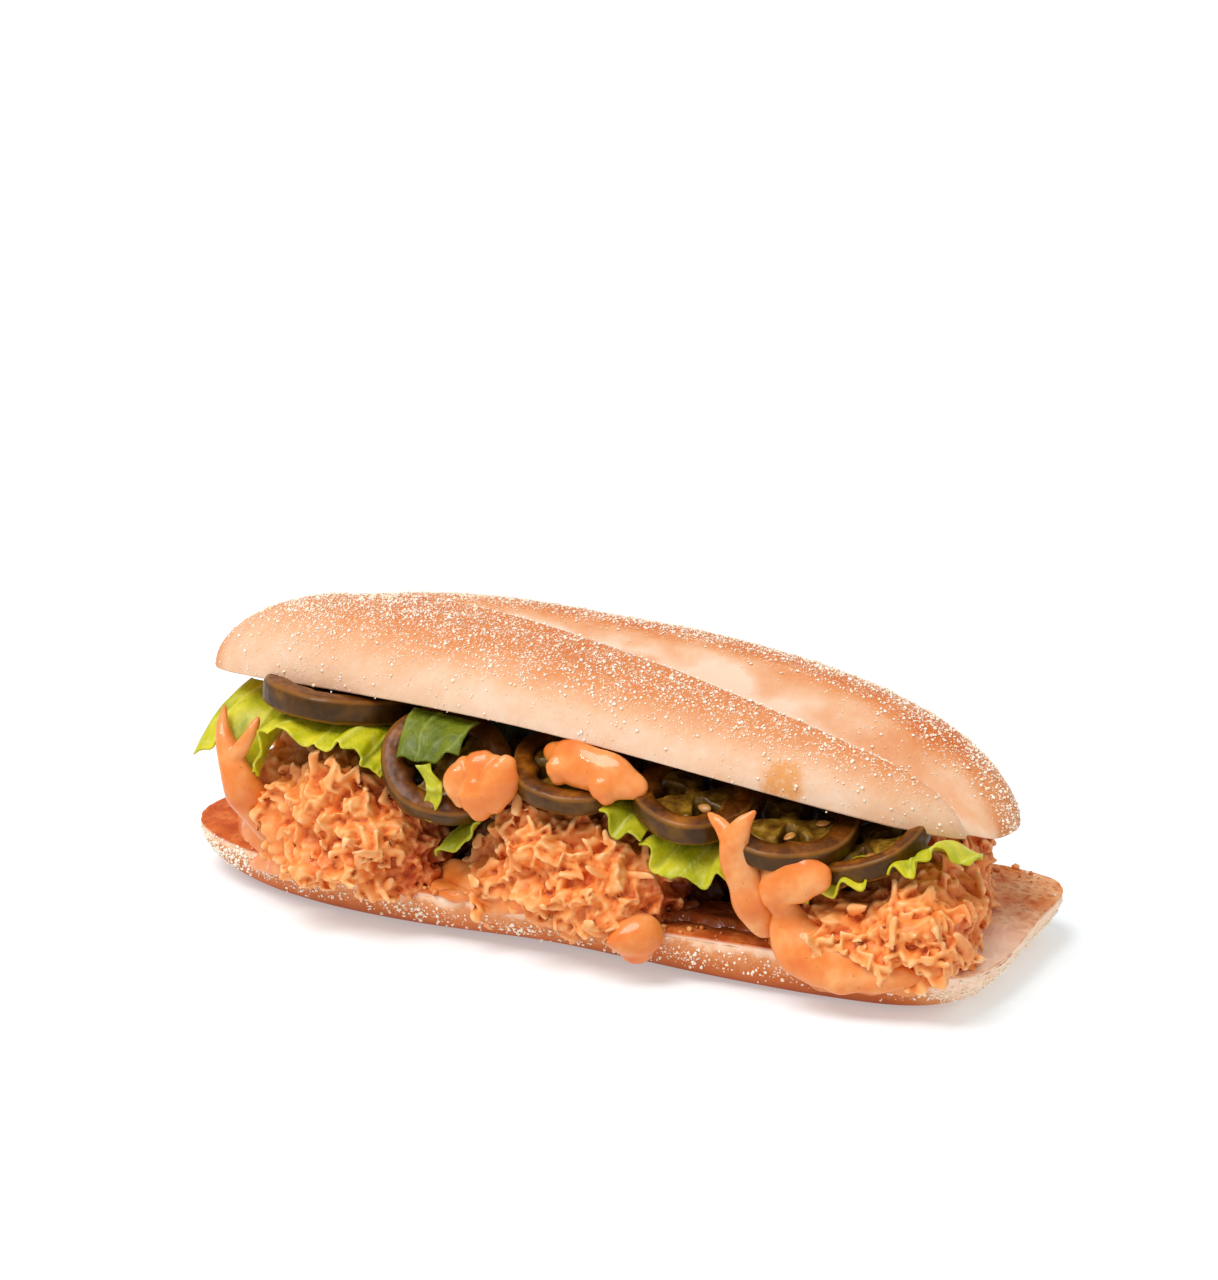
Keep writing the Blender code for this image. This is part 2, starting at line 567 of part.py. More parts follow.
def make_chicken(piece, collection):
    """A craggy lump, thinned to a few large facets so that its flakes stay crisp."""
    shape = bmesh.new()
    bmesh.ops.create_icosphere(shape, subdivisions=CHICKEN_DETAIL, radius=1.0)
    directions = unit(np.array([vert.co[:] for vert in shape.verts]))
    move_points(shape, chicken_surface(directions, piece))
    lump = new_object(piece.name, shape, collection)
    thin(lump, CHICKEN_TRIANGLES)
    return lump


def make_ring(ring, collection):
    """A pepper ring: a torus whose points are moved to a squarish section."""
    around, section = RING_STEPS
    bpy.ops.mesh.primitive_torus_add(major_segments=around, minor_segments=section,
                                     major_radius=1.0, minor_radius=0.25)
    thing = bpy.context.object
    thing.name = ring.name
    thing.data.name = ring.name
    for owner in list(thing.users_collection):
        owner.objects.unlink(thing)
    collection.objects.link(thing)
    shape = bmesh.new()
    shape.from_mesh(thing.data)
    points = np.array([vert.co[:] for vert in shape.verts])
    angles = np.arctan2(points[:, 1], points[:, 0])
    sides = np.arctan2(points[:, 2], np.hypot(points[:, 0], points[:, 1]) - 1.0)
    move_points(shape, ring_surface(angles, sides, ring))
    triangulate(shape)
    shape.to_mesh(thing.data)
    shape.free()
    return thing


def make_leaf(leaf, carriers, collection):
    """A thin wavy sheet laid clear of what carries it, split into triangles before it gets its thickness."""
    columns = max(LEAF_COLUMNS, 2 * len(leaf.edge))
    shape = bmesh.new()
    bmesh.ops.create_grid(shape, x_segments=columns, y_segments=LEAF_ROWS, size=1.0)
    points = np.array([vert.co[:] for vert in shape.verts])
    places = leaf_surface(0.5 + 0.5 * points[:, 0], 0.5 + 0.5 * points[:, 1], leaf)
    move_points(shape, places)
    lay_clear(shape, carriers, (LEAF_THICKNESS + 1.4) * MM)
    triangulate(shape)
    thing = new_object(leaf.name, shape, collection)
    wall = thing.modifiers.new("wall", "SOLIDIFY")
    wall.thickness = LEAF_THICKNESS * MM
    wall.offset = 0.0
    apply_modifiers(thing)
    return thing


def lay_clear(shape, carriers, distance):
    """Push the sheet's points out of the carriers and even them out, a few times over."""
    trees = [tree_of(carrier) for carrier in carriers]
    for _ in range(4):
        for vert in shape.verts:
            for tree in trees:
                place, normal, _, _ = tree.find_nearest(vert.co)
                depth = (vert.co - place).dot(normal)
                if (vert.co - place).length < distance or depth < 0.0:
                    if depth < distance and (vert.co - place).length < 12.0 * MM:
                        vert.co = place + normal * distance
        inner = [vert for vert in shape.verts if not vert.is_boundary]
        bmesh.ops.smooth_vert(shape, verts=inner, factor=0.5,
                              use_axis_x=True, use_axis_y=True, use_axis_z=True)


def tree_of(thing):
    """A search tree of an object's faces."""
    shape = bmesh.new()
    shape.from_mesh(thing.data)
    tree = BVHTree.FromBMesh(shape)
    shape.free()
    return tree


def make_sauce(sauce, collection):
    """The runs of one sauce body, melted together and thinned."""
    body = bmesh.new()
    for run in sauce.runs:
        shape = bmesh.new()
        bmesh.ops.create_uvsphere(shape, u_segments=SAUCE_SECTION, v_segments=4 * len(run), radius=1.0)
        move_points(shape, sauce_surface(directions_of(shape), run, sauce.seed))
        mesh = bpy.data.meshes.new("run")
        shape.to_mesh(mesh)
        shape.free()
        body.from_mesh(mesh)
        bpy.data.meshes.remove(mesh)
    thing = new_object(sauce.name, body, collection)
    melting = thing.modifiers.new("melting", "REMESH")
    melting.mode = "VOXEL"
    melting.voxel_size = SAUCE_VOXEL * MM
    rounding = thing.modifiers.new("rounding", "SMOOTH")
    rounding.iterations = 3
    apply_modifiers(thing)
    thin(thing, SAUCE_TRIANGLES)
    return thing


def thin(thing, triangles):
    """Thin a mesh to about so many triangles."""
    faces = sum(len(polygon.vertices) - 2 for polygon in thing.data.polygons)
    thinning = thing.modifiers.new("thinning", "DECIMATE")
    thinning.ratio = triangles / faces
    apply_modifiers(thing)


def apply_modifiers(thing):
    """Bake an object's modifiers into its mesh."""
    graph = bpy.context.evaluated_depsgraph_get()
    mesh = bpy.data.meshes.new_from_object(thing.evaluated_get(graph))
    number_by_place(mesh)
    thing.modifiers.clear()
    old = thing.data
    thing.data = mesh
    bpy.data.meshes.remove(old)
    mesh.name = thing.name


def boolean(target, tools, operation):
    """Apply one Boolean with all the tools, then drop the tools and keep the largest body."""
    workshop = bpy.data.collections.new("workshop")
    bpy.context.scene.collection.children.link(workshop)
    for tool in tools:
        for owner in list(tool.users_collection):
            owner.objects.unlink(tool)
        workshop.objects.link(tool)
    cut = target.modifiers.new("cut", "BOOLEAN")
    cut.operation = operation
    cut.operand_type = "COLLECTION"
    cut.collection = workshop
    cut.solver = "MANIFOLD"
    apply_modifiers(target)
    for tool in tools:
        bpy.data.objects.remove(tool)
    bpy.data.collections.remove(workshop)
    keep_largest(target)


def fuse(target, others):
    """Join other bodies to the target."""
    boolean(target, others, "UNION")


def keep_largest(thing):
    """Drop the scraps that a cut leaves, so that one body of triangles stays."""
    shape = bmesh.new()
    shape.from_mesh(thing.data)
    triangulate(shape)
    shape.verts.index_update()
    seen = [False] * len(shape.verts)
    bodies = []
    for start in shape.verts:
        body, front = [], [] if seen[start.index] else [start]
        seen[start.index] = True
        while front:
            vert = front.pop()
            body.append(vert)
            for edge in vert.link_edges:
                other = edge.other_vert(vert)
                if not seen[other.index]:
                    seen[other.index] = True
                    front.append(other)
        bodies.append(body)
    largest = max(bodies, key=len)
    scraps = [vert for body in bodies if body is not largest for vert in body]
    bmesh.ops.delete(shape, geom=scraps, context="VERTS")
    shape.to_mesh(thing.data)
    shape.free()


def drop_slivers(thing):
    """Collapse the shortest edges, as far as the body stays closed."""
    for distance in SLIVERS:
        shape = bmesh.new()
        shape.from_mesh(thing.data)
        bmesh.ops.dissolve_degenerate(shape, edges=shape.edges[:], dist=distance * MM)
        triangulate(shape)
        closed = all(len(edge.link_faces) == 2 for edge in shape.edges)
        if closed:
            shape.to_mesh(thing.data)
        shape.free()
        if closed:
            return


def cutter_of(neighbour, growth, collection):
    """A copy of a neighbour, grown all round."""
    shape = bmesh.new()
    shape.from_mesh(neighbour.data)
    shape.normal_update()
    moves = [vert.normal * growth * MM * min(vert.calc_shell_factor(), 2.0) for vert in shape.verts]
    for vert, move in zip(shape.verts, moves):
        vert.co += move
    cutter = new_object(f"cutter_{neighbour.name}", shape, collection)
    cutter.hide_render = True
    cutter.display_type = "WIRE"
    return cutter


def box_of(thing):
    """Lowest and highest corner of an object's mesh."""
    points = np.array([vert.co[:] for vert in thing.data.vertices])
    return points.min(axis=0), points.max(axis=0)


def clear_of(thing, neighbours, collection):
    """Cut a piece back from the neighbours in place: by the clearance, and never inside their own form."""
    low, high = box_of(thing)
    reach = 2.0 * CLEARANCE * MM
    near = []
    for neighbour in neighbours:
        other_low, other_high = box_of(neighbour)
        if np.all(low < other_high + reach) and np.all(other_low < high + reach):
            near.append(neighbour)
    for neighbour in near:
        tools = [cutter_of(neighbour, growth, collection) for growth in (CLEARANCE, 0.0)]
        boolean(thing, tools, "DIFFERENCE")


def settle(thing, placed, cutters):
    """Clear a new piece of all that was placed before it, and count it among them."""
    clear_of(thing, placed, cutters)
    drop_slivers(thing)
    placed.append(thing)
    return thing


def centre_on_origin(things):
    """Move every piece so that the sandwich's box stands centred on the origin."""
    corners = [box_of(thing) for thing in things]
    low = np.min([corner[0] for corner in corners], axis=0)
    high = np.max([corner[1] for corner in corners], axis=0)
    shift = Vector((-0.5 * (low[0] + high[0]), -0.5 * (low[1] + high[1]), -low[2]))
    for thing in things:
        for vert in thing.data.vertices:
            vert.co += shift


def finish(thing, material):
    """Give a piece its material and soft shading with crisp creases."""
    thing.data.materials.clear()
    thing.data.materials.append(material)
    thing.data.shade_smooth()
    thing.data.set_sharp_from_angle(angle=math.radians(50.0))


def main():
    """Build the sandwich from the bottom up."""
    for thing in list(bpy.data.objects):
        bpy.data.objects.remove(thing)
    sandwich = bpy.data.collections.new("submarine_sandwich")
    cutters = bpy.data.collections.new("cutters")
    for collection in (sandwich, cutters):
        bpy.context.scene.collection.children.link(collection)

    base = make_base(sandwich)
    crown = make_crown(sandwich)
    placed = [base, crown]
    rings = [settle(make_ring(ring, sandwich), placed, cutters) for ring in RINGS]
    chickens = [settle(make_chicken(piece, sandwich), placed, cutters) for piece in CHICKENS]
    leaves = [settle(make_leaf(leaf, placed, sandwich), placed, cutters) for leaf in LEAVES]
    sauces = [settle(make_sauce(sauce, sandwich), placed, cutters) for sauce in SAUCES]
    centre_on_origin(placed)

    groups = (
        ([base], "base_crust", 0.75),
        ([crown], "crust", 0.75),
        (rings, "pepper", 0.25),
        (chickens, "chicken", 0.6),
        (leaves, "lettuce", 0.4),
        (sauces, "sauce", 0.2),
    )
    for things, colour, roughness in groups:
        for thing in things:
            finish(thing, principled(thing.name, COLOURS[colour], roughness))


main()
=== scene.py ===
"""Submarine sandwich: the looks of a split, scored roll with crispy chicken, lettuce, pepper rings and sauce.

Shapes are worked out in millimetres in the frame that the part was drawn in, with the bottom bun's middle at
x = y = 0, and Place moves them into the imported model's frame in metres.
"""

import logging
import math
from dataclasses import dataclass
from enum import Enum

import bpy
import numpy as np
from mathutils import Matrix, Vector


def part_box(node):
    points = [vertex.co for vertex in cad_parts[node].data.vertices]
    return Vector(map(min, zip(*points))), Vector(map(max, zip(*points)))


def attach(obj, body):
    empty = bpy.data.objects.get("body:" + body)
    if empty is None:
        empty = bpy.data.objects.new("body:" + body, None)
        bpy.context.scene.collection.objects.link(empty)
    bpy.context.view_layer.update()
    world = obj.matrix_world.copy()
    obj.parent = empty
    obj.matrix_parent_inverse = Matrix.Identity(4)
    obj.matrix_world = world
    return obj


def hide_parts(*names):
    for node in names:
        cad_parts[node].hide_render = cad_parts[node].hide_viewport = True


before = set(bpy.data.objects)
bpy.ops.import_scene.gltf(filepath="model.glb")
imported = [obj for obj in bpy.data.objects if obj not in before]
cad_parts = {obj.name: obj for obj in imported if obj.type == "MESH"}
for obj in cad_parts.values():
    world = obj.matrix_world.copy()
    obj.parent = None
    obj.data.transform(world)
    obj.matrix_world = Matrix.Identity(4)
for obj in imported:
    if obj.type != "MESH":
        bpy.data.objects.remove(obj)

MM = 0.001
log = logging.getLogger("sandwich")

Rows = np.ndarray

# Along x, in millimetres: where the filling starts, is whole, is still whole, and ends.
FILLED = (-70.0, -56.0, 66.0, 84.0)


# Numbers and smooth functions

def smooth_step(value: Rows, low: float, high: float) -> Rows:
    """Rise without a corner from 0 at low to 1 at high: t * t * (3 - 2 t) of the clipped share t between."""
    share = np.clip((value - low) / (high - low), 0.0, 1.0)
    return share * share * (3.0 - 2.0 * share)


def bump(value: Rows, centre: float, width: float) -> Rows:
    """Bell curve of height 1: e to the minus square of the distance from the centre over the width."""
    return np.exp(-(((value - centre) / width) ** 2))


def inside(points: Rows, full: float = 20.0, none: float = 34.0) -> Rows:
    """How deep inside the roll points of the drawing are; the finishes darken colour by this number as
    painted shade.

    Formula: 1 where y is within the full distance, smoothly 0 beyond the other, and 0 at the roll's two ends.

    Args:
        points: rows of x, y, z in millimetres of the drawing.
        full: distance from the middle line within which a point is wholly inside.
        none: distance beyond which it is outside.

    Returns:
        Numbers from 0 to 1.
    """
    start, whole_from, whole_to, end = FILLED
    ends = smooth_step(points[..., 0], start, whole_from) * (1.0 - smooth_step(points[..., 0], whole_to, end))
    return ends * (1.0 - smooth_step(np.abs(points[..., 1]), full, none))


def unit(vectors: Rows) -> Rows:
    """Scale each row to length 1."""
    return vectors / np.maximum(np.linalg.norm(vectors, axis=-1, keepdims=True), 1e-9)


def waves(points: Rows, length: float, seed: int) -> Rows:
    """Smooth irregular field of about -1 to 1.

    Formula: the sum of sines of six plane waves of about one length in seeded directions, over the root
    of their number.

    Args:
        points: rows of x, y, z.
        length: the waves' usual length, in the points' unit.
        seed: which field.

    Returns:
        One number for each row.
    """
    rng = np.random.default_rng(seed)
    count = 6
    headings = rng.normal(size=(count, 3))
    headings /= np.linalg.norm(headings, axis=1)[:, None]
    lengths = length * rng.uniform(0.7, 1.4, count)
    phases = rng.uniform(0.0, 2.0 * math.pi, count)
    angles = points @ (headings.T * 2.0 * math.pi / lengths) + phases
    return np.sin(angles).sum(axis=-1) / math.sqrt(count)


def crags(points: Rows, length: float, seed: int) -> Rows:
    """Sharp crests with broad hollows between them, about 0 to 1: 1 less the size of the waves."""
    return 1.0 - np.minimum(np.abs(waves(points, length, seed)) * 1.3, 1.0)


# Large odd numbers that scatter a cell's whole coordinates, and the seed, over all bits of a hash.
CELL_FACTORS = (73856093, 19349663, 83492791)
MIX_FACTOR = 1274126177
SEED_FACTOR = 2654435761


def lattice(points: Rows, seed: int) -> Rows:
    """Gradient noise of about -1 to 1 with features one unit apart.

    Formula: at each corner of the unit cube round a point, a hashed direction is dotted with the way from
    the corner; the eight numbers are blended by 6 t^5 - 15 t^4 + 10 t^3 along each axis.

    Args:
        points: rows of x, y, z.
        seed: which field.

    Returns:
        One number for each row.
    """
    cell = np.floor(points).astype(np.int64)
    part = points - cell
    fade = part**3 * (part * (part * 6.0 - 15.0) + 10.0)
    total = np.zeros(len(points))
    for corner in range(8):
        step = np.array([corner & 1, corner >> 1 & 1, corner >> 2 & 1])
        at = (cell + step).astype(np.uint64)
        code = np.bitwise_xor.reduce(at * np.array(CELL_FACTORS, dtype=np.uint64), axis=1)
        code ^= np.uint64(seed * SEED_FACTOR % 2**32)
        code = (code ^ (code >> np.uint64(13))) * np.uint64(MIX_FACTOR)
        code = (code ^ (code >> np.uint64(16))) & np.uint64(0xFFFFFF)
        turn = (code & np.uint64(4095)).astype(float) * (2.0 * math.pi / 4096.0)
        rise = (code >> np.uint64(12)).astype(float) / 2047.5 - 1.0
        flat = np.sqrt(1.0 - rise * rise)
        away = part - step
        dot = away[:, 0] * flat * np.cos(turn) + away[:, 1] * flat * np.sin(turn) + away[:, 2] * rise
        weight = np.where(step == 1, fade, 1.0 - fade).prod(axis=1)
        total += weight * dot
    return total * 1.7


def cloudy(points: Rows, length: float, seed: int, octaves: int = 3) -> Rows:
    """Noise of several sizes: each octave is half as long and half as strong as the one before.

    Args:
        points: rows of x, y, z.
        length: length of the largest features.
        seed: which field.
        octaves: how many sizes.

    Returns:
        Numbers of about -1 to 1.
    """
    total = np.zeros(len(points))
    strength = 1.0
    for octave in range(octaves):
        total += strength * lattice(points / length + 7.3 * octave, seed + octave)
        length *= 0.5
        strength *= 0.5
    return total / 1.5


def ridged(points: Rows, length: float, seed: int, octaves: int = 3) -> Rows:
    """Sharp crests of several sizes, 0 in the hollows and 1 on the crests.

    Formula: the square of 1 less the size of gradient noise, summed over octaves, each weighted by the
    crest before it.

    Args:
        points: rows of x, y, z.
        length: spacing of the largest crests.
        seed: which field.
        octaves: how many sizes.

    Returns:
        One number for each row.
    """
    total = np.zeros(len(points))
    strength, whole = 1.0, 0.0
    carry = np.ones(len(points))
    for octave in range(octaves):
        size = np.abs(lattice(points / length + 3.1 * octave, seed + octave))
        crest = (1.0 - np.minimum(size * 1.5, 1.0)) ** 2
        total += strength * crest * carry
        carry = 0.4 + 0.6 * crest
        whole += strength
        length *= 0.48
        strength *= 0.55
    return total / whole


def folds(points: Rows, length: float, seed: int) -> Rows:
    """Rounded folds, 0 to 1, with sharp creases between: the noise's size, cut off at 1, to the power 0.6."""
    return np.minimum(np.abs(lattice(points / length, seed)) * 2.2, 1.0) ** 0.6


def along(route: tuple, share: Rows) -> Rows:
    """Read a smooth curve through the route's rows at shares from 0 to 1 of its way.

    Formula: a Catmull-Rom spline, with the end rows mirrored for the missing neighbours.

    Args:
        route: rows of numbers.
        share: how far along, from 0 to 1.

    Returns:
        One row for each share.
    """
    rows = np.asarray(route, dtype=float)
    last = len(rows) - 1
    padded = np.vstack([2.0 * rows[0] - rows[1], rows, 2.0 * rows[-1] - rows[-2]])
    place = np.clip(share, 0.0, 1.0) * last
    start = np.minimum(place.astype(int), last - 1)
    part = (place - start)[:, None]
    before, here, after, beyond = (padded[start + step] for step in range(4))
    slope = after - before
    bend = 2.0 * before - 5.0 * here + 4.0 * after - beyond
    twist = 3.0 * here - before - 3.0 * after + beyond
    return here + 0.5 * (slope * part + bend * part**2 + twist * part**3)


# Meshes from grids of points

NO_QUADS = np.zeros((0, 4), dtype=int)
NO_TRIANGLES = np.zeros((0, 3), dtype=int)


class Wrap(Enum):
    """How a grid of points closes."""

    SHEET = "open on all sides"
    BALL = "each row is a loop, and a pole closes the grid before the first row and after the last"
    RING = "rows and columns both close on themselves"


def grid_faces(rows: int, columns: int, wrap: Wrap) -> tuple[Rows, Rows]:
    """Number the faces of a grid, stored row by row; poles follow as two more points.

    Args:
        rows: points along the first parameter.
        columns: points along the second, which closes on itself in a ball or ring.
        wrap: how the grid closes.

    Returns:
        Quads as rows of four numbers, and triangles at the poles as rows of three.
    """
    last_row = rows if wrap is Wrap.RING else rows - 1
    last_column = columns - 1 if wrap is Wrap.SHEET else columns
    i, j = np.meshgrid(np.arange(last_row), np.arange(last_column), indexing="ij")
    i, j = i.ravel(), j.ravel()
    down, right = (i + 1) % rows, (j + 1) % columns
    here, below = i * columns, down * columns
    quads = np.stack([here + j, here + right, below + right, below + j], axis=1)
    if wrap is not Wrap.BALL:
        return quads, NO_TRIANGLES
    step = np.arange(columns)
    after = (step + 1) % columns
    first, final = np.full(columns, rows * columns), np.full(columns, rows * columns + 1)
    base = (rows - 1) * columns
    fans = np.concatenate([np.stack([first, after, step], axis=1),
                           np.stack([final, base + step, base + after], axis=1)])
    return quads, fans


def turns(count: int) -> Rows:
    """Angles spread evenly round a full turn."""
    return 2.0 * math.pi * np.arange(count) / count


def inner_steps(count: int) -> Rows:
    """Shares spread evenly from 0 to 1, without the two ends, where the poles are."""
    return (np.arange(count) + 1.0) / (count + 1.0)


def pairs(first: Rows, second: Rows, *poles: tuple) -> tuple[Rows, Rows]:
    """Pair every number with every number of a second row, stored row by row.

    Args:
        first: numbers that are the same along a row of the grid.
        second: numbers that change along it.
        poles: pairs that follow at the end.

    Returns:
        The first and the second number of every pair.
    """
    one, two = (part.ravel() for part in np.meshgrid(first, second, indexing="ij"))
    return np.append(one, [pole[0] for pole in poles]), np.append(two, [pole[1] for pole in poles])


def ball_grid(rows: int, columns: int, crowding: float = 1.0) -> tuple[Rows, Rows, Rows]:
    """Points of a ball of radius 1 on a grid of loops between two poles.

    Formula: (sin t cos p, sin t sin p, cos t), where t is pi times the share of the way from pole to pole,
    to the power of the crowding, and p goes once round.

    Args:
        rows: loops between the poles.
        columns: points of a loop.
        crowding: above 1, the loops lie closer together near the first pole.

    Returns:
        The three coordinates, the last along the axis.
    """
    theta, phi = pairs(math.pi * inner_steps(rows)**crowding, turns(columns), (0.0, 0.0), (math.pi, 0.0))
    return np.sin(theta) * np.cos(phi), np.sin(theta) * np.sin(phi), np.cos(theta)


def copies(faces: Rows, size: int, count: int) -> Rows:
    """Number the faces of this many copies of one small solid, each with this many points."""
    return (faces[None] + (np.arange(count) * size)[:, None, None]).reshape(-1, faces.shape[1])


def signed_volume(points: Rows, triangles: Rows) -> float:
    """Six times the volume inside closed triangles, negative where they point inwards."""
    a, b, c = (points[triangles[:, corner]] for corner in range(3))
    return float((a * np.cross(b, c)).sum())


def make_mesh(name: str, points: Rows, quads: Rows, triangles: Rows, closed: bool = True) -> bpy.types.Object:
    """Put whole arrays of points and faces into a mesh object with smooth shading.

    Args:
        name: the piece's name.
        points: rows of x, y, z in metres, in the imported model's frame.
        quads: rows of four point numbers.
        triangles: rows of three.
        closed: whether the faces close a body, which is then turned to point outwards.

    Returns:
        The object, at the origin.
    """
    halves = np.concatenate([quads[:, [0, 1, 2]], quads[:, [0, 2, 3]], triangles])
    if closed and signed_volume(points - points.mean(axis=0), halves) < 0.0:
        quads, triangles = quads[:, ::-1], triangles[:, ::-1]
    mesh = bpy.data.meshes.new(name)
    loops = np.concatenate([quads.ravel(), triangles.ravel()]).astype(np.int32)
    sizes = np.concatenate([np.full(len(quads), 4), np.full(len(triangles), 3)])
    starts = np.concatenate([[0], np.cumsum(sizes)[:-1]]).astype(np.int32)
    mesh.vertices.add(len(points))
    mesh.vertices.foreach_set("co", np.ascontiguousarray(points, dtype=np.float32).ravel())
    mesh.loops.add(len(loops))
    mesh.loops.foreach_set("vertex_index", loops)
    mesh.polygons.add(len(sizes))
    mesh.polygons.foreach_set("loop_start", starts)
    mesh.update(calc_edges=True)
    mesh.shade_smooth()
    thing = bpy.data.objects.new(name, mesh)
    bpy.context.scene.collection.objects.link(thing)
    return thing


def add_attribute(thing: bpy.types.Object, name: str, values: Rows) -> None:
    """Store one number for each point of the object's mesh, which a material reads by name."""
    layer = thing.data.attributes.new(name, "FLOAT", "POINT")
    layer.data.foreach_set("value", np.ascontiguousarray(values, dtype=np.float32))


def grid_piece(name: str, points: Rows, rows: int, columns: int, wrap: Wrap,
               material: bpy.types.Material, **numbers: Rows) -> bpy.types.Object:
    """Make a piece from a grid of points, with its material and the numbers that the material reads.

    Args:
        name: the piece's name.
        points: rows of x, y, z in metres.
        rows: points along the first parameter.
        columns: points along the second.
        wrap: how the grid closes.
        material: its finish.
        **numbers: one number for each point, stored under its own name.

    Returns:
        The object.
    """
    piece = make_mesh(name, points, *grid_faces(rows, columns, wrap), closed=wrap is not Wrap.SHEET)
    for number, values in numbers.items():
        add_attribute(piece, number, values)
    piece.data.materials.append(material)
    return piece


def apply_modifiers(thing: bpy.types.Object) -> None:
    """Bake an object's modifiers into its mesh."""
    graph = bpy.context.evaluated_depsgraph_get()
    mesh = bpy.data.meshes.new_from_object(thing.evaluated_get(graph))
    thing.modifiers.clear()
    old = thing.data
    thing.data = mesh
    bpy.data.meshes.remove(old)
    mesh.name = thing.name


def read_numbers(items: bpy.types.bpy_prop_collection, name: str, kind: type, width: int = 1) -> Rows:
    """Read one property of every item of a mesh as an array.

    Args:
        items: the mesh's points, loops or faces.
        name: the property.
        kind: the type of its numbers.
        width: how many numbers an item has.

    Returns:
        The numbers, one item after another.
    """
    values = np.empty(len(items) * width, dtype=kind)
    items.foreach_get(name, values)
    return values


def points_of(thing: bpy.types.Object) -> Rows:
    """The object's points as rows of x, y, z."""
    return read_numbers(thing.data.vertices, "co", np.float32, 3).reshape(-1, 3).astype(float)


def normals_of(thing: bpy.types.Object) -> Rows:
    """The outward direction at each of the object's points."""
    return read_numbers(thing.data.vertex_normals, "vector", np.float32, 3).reshape(-1, 3).astype(float)


def move_points(thing: bpy.types.Object, points: Rows) -> None:
    """Give the points of the object's mesh new places."""
    thing.data.vertices.foreach_set("co", points.astype(np.float32).ravel())
    thing.data.update()


@dataclass(frozen=True)
class Place:
    """Where the drawing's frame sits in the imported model's frame."""

    shift_x: float
    shift_y: float

    def metres(self, points: Rows) -> Rows:
        """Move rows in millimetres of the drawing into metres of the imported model."""
        return (points + np.array((self.shift_x, self.shift_y, 0.0))) * MM

    def drawing(self, points: Rows) -> Rows:
        """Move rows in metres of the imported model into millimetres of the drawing."""
        return points / MM - np.array((self.shift_x, self.shift_y, 0.0))


# Shader maths

class Value:
    """A shader socket or a number, so that material patterns are written as sums and products."""

    def __init__(self, nodes: "Nodes", source: object) -> None:
        """Keep the node tree's builder and the socket or number."""
        self.nodes = nodes
        self.source = source

    def math(self, operation: str, *others: object) -> "Value":
        """Add a Math node that takes this value and the others in order."""
        return self.nodes.add("ShaderNodeMath", {"operation": operation}, dict(enumerate((self, *others))))

    def __add__(self, other: object) -> "Value":
        """Sum."""
        return self.math("ADD", other)

    def __mul__(self, other: object) -> "Value":
        """Product."""
        return self.math("MULTIPLY", other)

    def __sub__(self, other: object) -> "Value":
        """Difference."""
        return self.math("SUBTRACT", other)

    def __rsub__(self, other: object) -> "Value":
        """Difference with the number first."""
        return Value(self.nodes, other).math("SUBTRACT", self)

    __radd__ = __add__
    __rmul__ = __mul__

    def between(self, low: float, high: float) -> "Value":
        """Rise smoothly from 0 at low to 1 at high."""
        return self.nodes.add("ShaderNodeMapRange", {"interpolation_type": "SMOOTHSTEP"}, {
            "Value": self, "From Min": low, "From Max": high, "To Min": 0.0, "To Max": 1.0})


